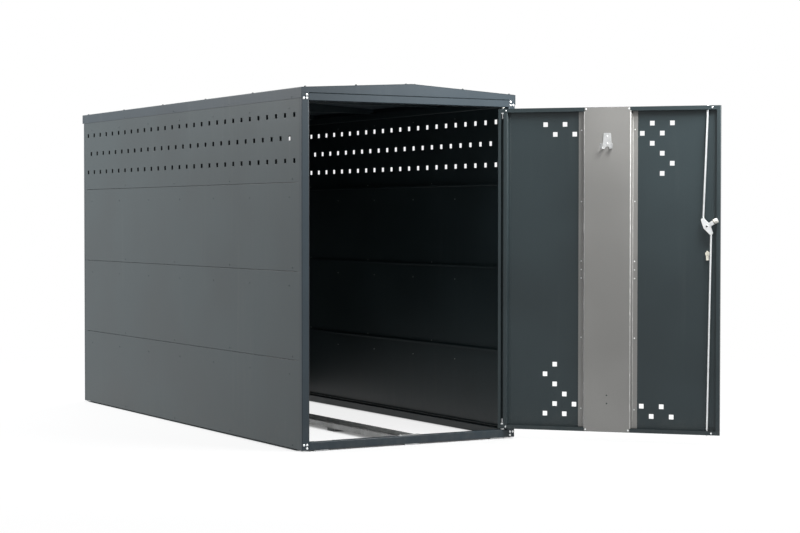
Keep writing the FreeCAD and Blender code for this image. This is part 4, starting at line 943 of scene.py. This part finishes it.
def grooved_roller():
    """The cam's roller: a drum with rounded rims, a bore for its stud and a groove near the arm painted dark
    as shade.
    """
    foot, head, bore, radius = reach_along("cam_roller", ROLLER_AXIS, ROLLER_PLACE)
    length = head - foot
    profile = [
        (bore, 0.0), (radius * 0.84, 0.0), (radius * 0.95, length * 0.02), (radius, length * 0.06),
        (radius, length * 0.12), (radius * 0.86, length * 0.15), (radius * 0.86, length * 0.22),
        (radius, length * 0.25), (radius, length * 0.93), (radius * 0.95, length * 0.98),
        (radius * 0.84, length), (bore * 1.2, length), (bore, length * 0.97), (bore, 0.0),
    ]
    steps = 40
    shell = bmesh.new()
    turned(shell, profile, stand(ROLLER_PLACE + ROLLER_AXIS * foot, ROLLER_AXIS), steps=steps)
    bmesh.ops.remove_doubles(shell, verts=shell.verts, dist=MERGE)
    piece = new_piece("cam_drum", finish_mesh(shell, "cam_drum"), MATERIALS["bush_plastic"],
                      BODY_OF["cam_roller"])
    # The groove is painted dark as shade.
    paint_shade_on(piece, 4 * steps, 7 * steps, "pad_plastic")
    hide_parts("cam_roller")


def lever_run():
    """The lever's middle line and radii from its foot on the hub to its tip: (place, direction, radius)."""
    out = -INWARD
    along = -TO_LOCK * math.cos(LEVER_DROP) - UP * math.sin(LEVER_DROP)
    bend_foot = LEVER_STAND - LEVER_BEND
    run = []
    for past, radius in NECK_RINGS:
        run.append((SPINDLE + out * (NECK_FOOT + past), out, radius))
    run.append((SPINDLE + out * bend_foot, out, GRIP_RADIUS))
    corner = SPINDLE + out * bend_foot + along * LEVER_BEND
    for step in range(1, BEND_STEPS + 1):
        turn = math.pi / 2 * step / BEND_STEPS
        place = corner + out * math.sin(turn) * LEVER_BEND - along * math.cos(turn) * LEVER_BEND
        run.append((place, out * math.cos(turn) + along * math.sin(turn), GRIP_RADIUS))
    start = SPINDLE + out * LEVER_STAND
    straight = LEVER_LENGTH - LEVER_BEND - LEVER_RADIUS
    for step in range(1, GRIP_STEPS + 1):
        share = step / GRIP_STEPS
        radius = GRIP_RADIUS + GRIP_SWELL * math.sin(math.pi * min(1.0, share * 1.15)) ** 2
        run.append((start + along * (LEVER_BEND + straight * share), along, radius))
    tip = start + along * (LEVER_LENGTH - LEVER_RADIUS)
    for step in range(1, TIP_STEPS + 1):
        turn = math.pi / 2 * step / TIP_STEPS
        run.append((tip + along * math.sin(turn) * GRIP_RADIUS, along, GRIP_RADIUS * math.cos(turn)))
    return run


def lever_grip():
    """The outside lever: a collar on the hub, one bend, and a grip that swells and is flatter than wide."""
    shell = bmesh.new()
    across = TO_LOCK * math.sin(LEVER_DROP) - UP * math.cos(LEVER_DROP)
    steps = 28
    last = None
    for place, way, radius in lever_run():
        thick = way.cross(across)
        flat = GRIP_FLAT if (place - SPINDLE).dot(-INWARD) > NECK_FOOT + NECK_COLLAR else 1.0
        if radius < 1e-5:
            fan(shell, last, shell.verts.new(place))
            break
        ring = []
        for step in range(steps):
            turn = 2 * math.pi * step / steps
            ring.append(shell.verts.new(place + across * math.cos(turn) * radius
                                        + thick * math.sin(turn) * radius * flat))
        if last:
            bridge(shell, last, ring)
        else:
            shell.faces.new(ring[::-1])
        last = ring
    piece = new_piece("lever_grip", finish_mesh(shell, "lever_grip", 50.0), MATERIALS["handle_black"],
                      BODY_OF["handle_lever"])
    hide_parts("handle_lever")


def corner_welds():
    """Ground weld seams where the door's end lips meet its side lips."""
    shell = bmesh.new()
    points = [nodes["door_skin"].matrix_world @ v.co for v in nodes["door_skin"].data.vertices]
    face = max(p.dot(INWARD) for p in points)
    edges = (min(p.dot(TO_LOCK) for p in points), max(p.dot(TO_LOCK) for p in points))
    ends = (min(p.z for p in points), max(p.z for p in points))
    for edge, lip, into in ((edges[0], HINGE_LIP, 1), (edges[1], LOCK_LIP, -1)):
        for end, up in ((ends[0], 1), (ends[1], -1)):
            place = TO_LOCK * (edge + into * lip) + INWARD * face
            start = place + UP * (end + up * WELD_START)
            bead(shell, start, place + UP * (end + up * (END_LIP - WELD_END)), INWARD)
    # The beads wear the lighter fold coat: rubbed wear and a painted highlight.
    new_piece("door_corner_welds", finish_mesh(shell, "door_corner_welds"), MATERIALS["worn_and_highlit"], "door")


socket_screw()
grooved_roller()
lever_grip()
corner_welds()


# Seal on the lock post

def bulb_seal():
    """A rubber strip with a base, a hollow-looking bulb and two ribs, in the room of its plain solid."""
    low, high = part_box("door_seal")
    width, depth = high.x - low.x, high.y - low.y
    section = []
    for step in range(13):
        turn = math.pi * step / 12
        section.append((0.5 - 0.42 * math.cos(turn), 0.5 - 0.5 * math.sin(turn)))
    section = [(0.0, 1.0), (0.0, 0.72), (0.06, 0.64)] + section + [(0.94, 0.64), (1.0, 0.72), (1.0, 1.0)]
    shell = bmesh.new()
    rings = []
    for height in (low.z, high.z):
        rings.append([shell.verts.new((low.x + a * width, low.y + b * depth, height)) for a, b in section])
    bridge(shell, *rings)
    shell.faces.new(rings[0])
    shell.faces.new(rings[1])
    piece = new_piece("door_seal_bulb", finish_mesh(shell, "door_seal_bulb", 40.0), MATERIALS["seal_rubber"],
                      "root")
    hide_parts("door_seal")


bulb_seal()


# Floor, light and camera

WHITE = (1.0, 1.0, 1.0, 1.0)
FLOOR_BOUNCE = linear(128, 129, 131)
FLOOR_WHITE = linear(236, 236, 236)
FLOOR_REACH = 60.0
GLOW_NEAR = 0.84
GLOW_FROM = 1.4
GLOW_TO = 4.5
CONTACT_REACH = 0.03
CONTACT_GLOW = 0.1
SKY_COLOUR = (0.94, 0.97, 1.0, 1.0)
SKY_SIDE = 0.22
SKY_TOP = 0.6

# Each lamp's name, place, target, width, height and power
LAMPS = (
    ("key_over_door", (0.95, -2.25, 2.22), (0.1, -1.2, 1.2), 1.4, 0.9, 92.0),
    ("fill_left", (-2.5, 1.5, 2.7), (-0.46, 0.3, 1.1), 2.6, 1.6, 125.0),
    ("fill_rear", (3.0, 2.8, 2.2), (0.2, 0.4, 0.8), 2.4, 1.6, 150.0),
)

# The camera, solved from the photograph; its turns are yaw, pitch and roll in degrees
SENSOR_WIDTH = 36.0
LENS = 85.31
CAMERA_PLACE = (-3.5677, -7.2236, 0.8489)
CAMERA_TURNS = (29.911, 1.468, 0.027)


def glowing(tree, kind):
    """A plain white light source of the given kind."""
    glow = put(tree, kind)
    glow.inputs["Color"].default_value = WHITE
    glow.inputs["Strength"].default_value = 1.0
    return glow


def mixed(tree, share, first, second):
    """The first shader where share is 0 and the second where it is 1; gives the output to feed on."""
    mix = put(tree, "ShaderNodeMixShader")
    feed(tree, share, mix.inputs[0])
    feed(tree, first.outputs[0], mix.inputs[1])
    feed(tree, second.outputs[0], mix.inputs[2])
    return mix.outputs[0]


def seen_directly(tree):
    """1 for rays from the camera and for reflections of it, 0 for the light that the floor throws back."""
    path = put(tree, "ShaderNodeLightPath")
    seen = maths(tree, "MAXIMUM", path.outputs["Is Camera Ray"], path.outputs["Is Glossy Ray"])
    return maths(tree, "MAXIMUM", seen, path.outputs["Is Transmission Ray"])


def white_floor():
    """A pale floor that keeps a soft shadow close to the locker and runs out to the white of the studio."""
    mesh = bpy.data.meshes.new("studio_floor")
    corners = [(x * FLOOR_REACH, y * FLOOR_REACH, 0) for x, y in ((-1, -1), (1, -1), (1, 1), (-1, 1))]
    mesh.from_pydata(corners, [], [(0, 1, 2, 3)])
    floor = bpy.data.objects.new("studio_floor", mesh)
    bpy.context.scene.collection.objects.link(floor)
    material, tree, shader = blank("studio_floor_white")
    shader.inputs["Roughness"].default_value = 0.6
    shader.inputs["Specular IOR Level"].default_value = 0.1
    seen = seen_directly(tree)
    feed(tree, tint(tree, seen, FLOOR_BOUNCE, FLOOR_WHITE), shader.inputs["Base Color"])
    place = put(tree, "ShaderNodeTexCoord")
    split = put(tree, "ShaderNodeSeparateXYZ")
    feed(tree, place.outputs["Object"], split.inputs["Vector"])
    flat = put(tree, "ShaderNodeCombineXYZ")
    feed(tree, split.outputs["X"], flat.inputs["X"])
    feed(tree, split.outputs["Y"], flat.inputs["Y"])
    away = put(tree, "ShaderNodeVectorMath", operation="LENGTH")
    feed(tree, flat.outputs["Vector"], away.inputs[0])
    far = ramp(tree, away.outputs["Value"], GLOW_FROM, GLOW_TO)
    share = maths(tree, "ADD", maths(tree, "MULTIPLY", far, 1.0 - GLOW_NEAR), GLOW_NEAR)
    contact = put(tree, "ShaderNodeAmbientOcclusion", samples=12)
    contact.inputs["Distance"].default_value = CONTACT_REACH
    open_sky = maths(tree, "MULTIPLY", contact.outputs["AO"], 1.0 - CONTACT_GLOW)
    open_sky = maths(tree, "ADD", open_sky, CONTACT_GLOW)
    share = maths(tree, "MULTIPLY", maths(tree, "MULTIPLY", share, open_sky), seen)
    surface = mixed(tree, share, shader, glowing(tree, "ShaderNodeEmission"))
    feed(tree, surface, tree.nodes["Material Output"].inputs["Surface"])
    mesh.materials.append(material)


def studio_sky():
    """White where it is seen or mirrored; as light, a soft studio that is brighter from above."""
    world = bpy.data.worlds.new("studio")
    bpy.context.scene.world = world
    world.use_nodes = True
    tree = world.node_tree
    tree.nodes.clear()
    out = put(tree, "ShaderNodeOutputWorld")
    place = put(tree, "ShaderNodeTexCoord")
    split = put(tree, "ShaderNodeSeparateXYZ")
    feed(tree, place.outputs["Generated"], split.inputs["Vector"])
    light = put(tree, "ShaderNodeBackground")
    light.inputs["Color"].default_value = SKY_COLOUR
    height = ramp(tree, split.outputs["Z"], -0.1, 0.9)
    feed(tree, maths(tree, "ADD", maths(tree, "MULTIPLY", height, SKY_TOP - SKY_SIDE), SKY_SIDE),
         light.inputs["Strength"])
    white = glowing(tree, "ShaderNodeBackground")
    feed(tree, mixed(tree, seen_directly(tree), light, white), out.inputs["Surface"])


def soft_box(name, place, target, width, height, power):
    """A white area lamp that looks at its target."""
    lamp = bpy.data.lights.new(name, "AREA")
    lamp.shape = "RECTANGLE"
    lamp.size = width
    lamp.size_y = height
    lamp.energy = power
    holder = bpy.data.objects.new(name, lamp)
    bpy.context.scene.collection.objects.link(holder)
    holder.location = place
    holder.rotation_euler = (Vector(target) - Vector(place)).to_track_quat("-Z", "Y").to_euler()


def aim_camera():
    """The photograph's view: a long lens at the height of the locker's middle, to the left of the door."""
    lens = bpy.data.cameras.new("photo_view")
    lens.sensor_width = SENSOR_WIDTH
    lens.lens = LENS
    camera = bpy.data.objects.new("photo_view", lens)
    bpy.context.scene.collection.objects.link(camera)
    yaw, pitch, roll = (math.radians(angle) for angle in CAMERA_TURNS)
    aim = Matrix.Rotation(-yaw, 3, "Z") @ Matrix.Rotation(math.pi / 2 - pitch, 3, "X")
    camera.location = CAMERA_PLACE
    camera.rotation_euler = (aim @ Matrix.Rotation(roll, 3, "Z")).to_euler()
    bpy.context.scene.camera = camera


white_floor()
studio_sky()
for lamp in LAMPS:
    soft_box(*lamp)
aim_camera()
bpy.context.scene.view_settings.view_transform = "Standard"
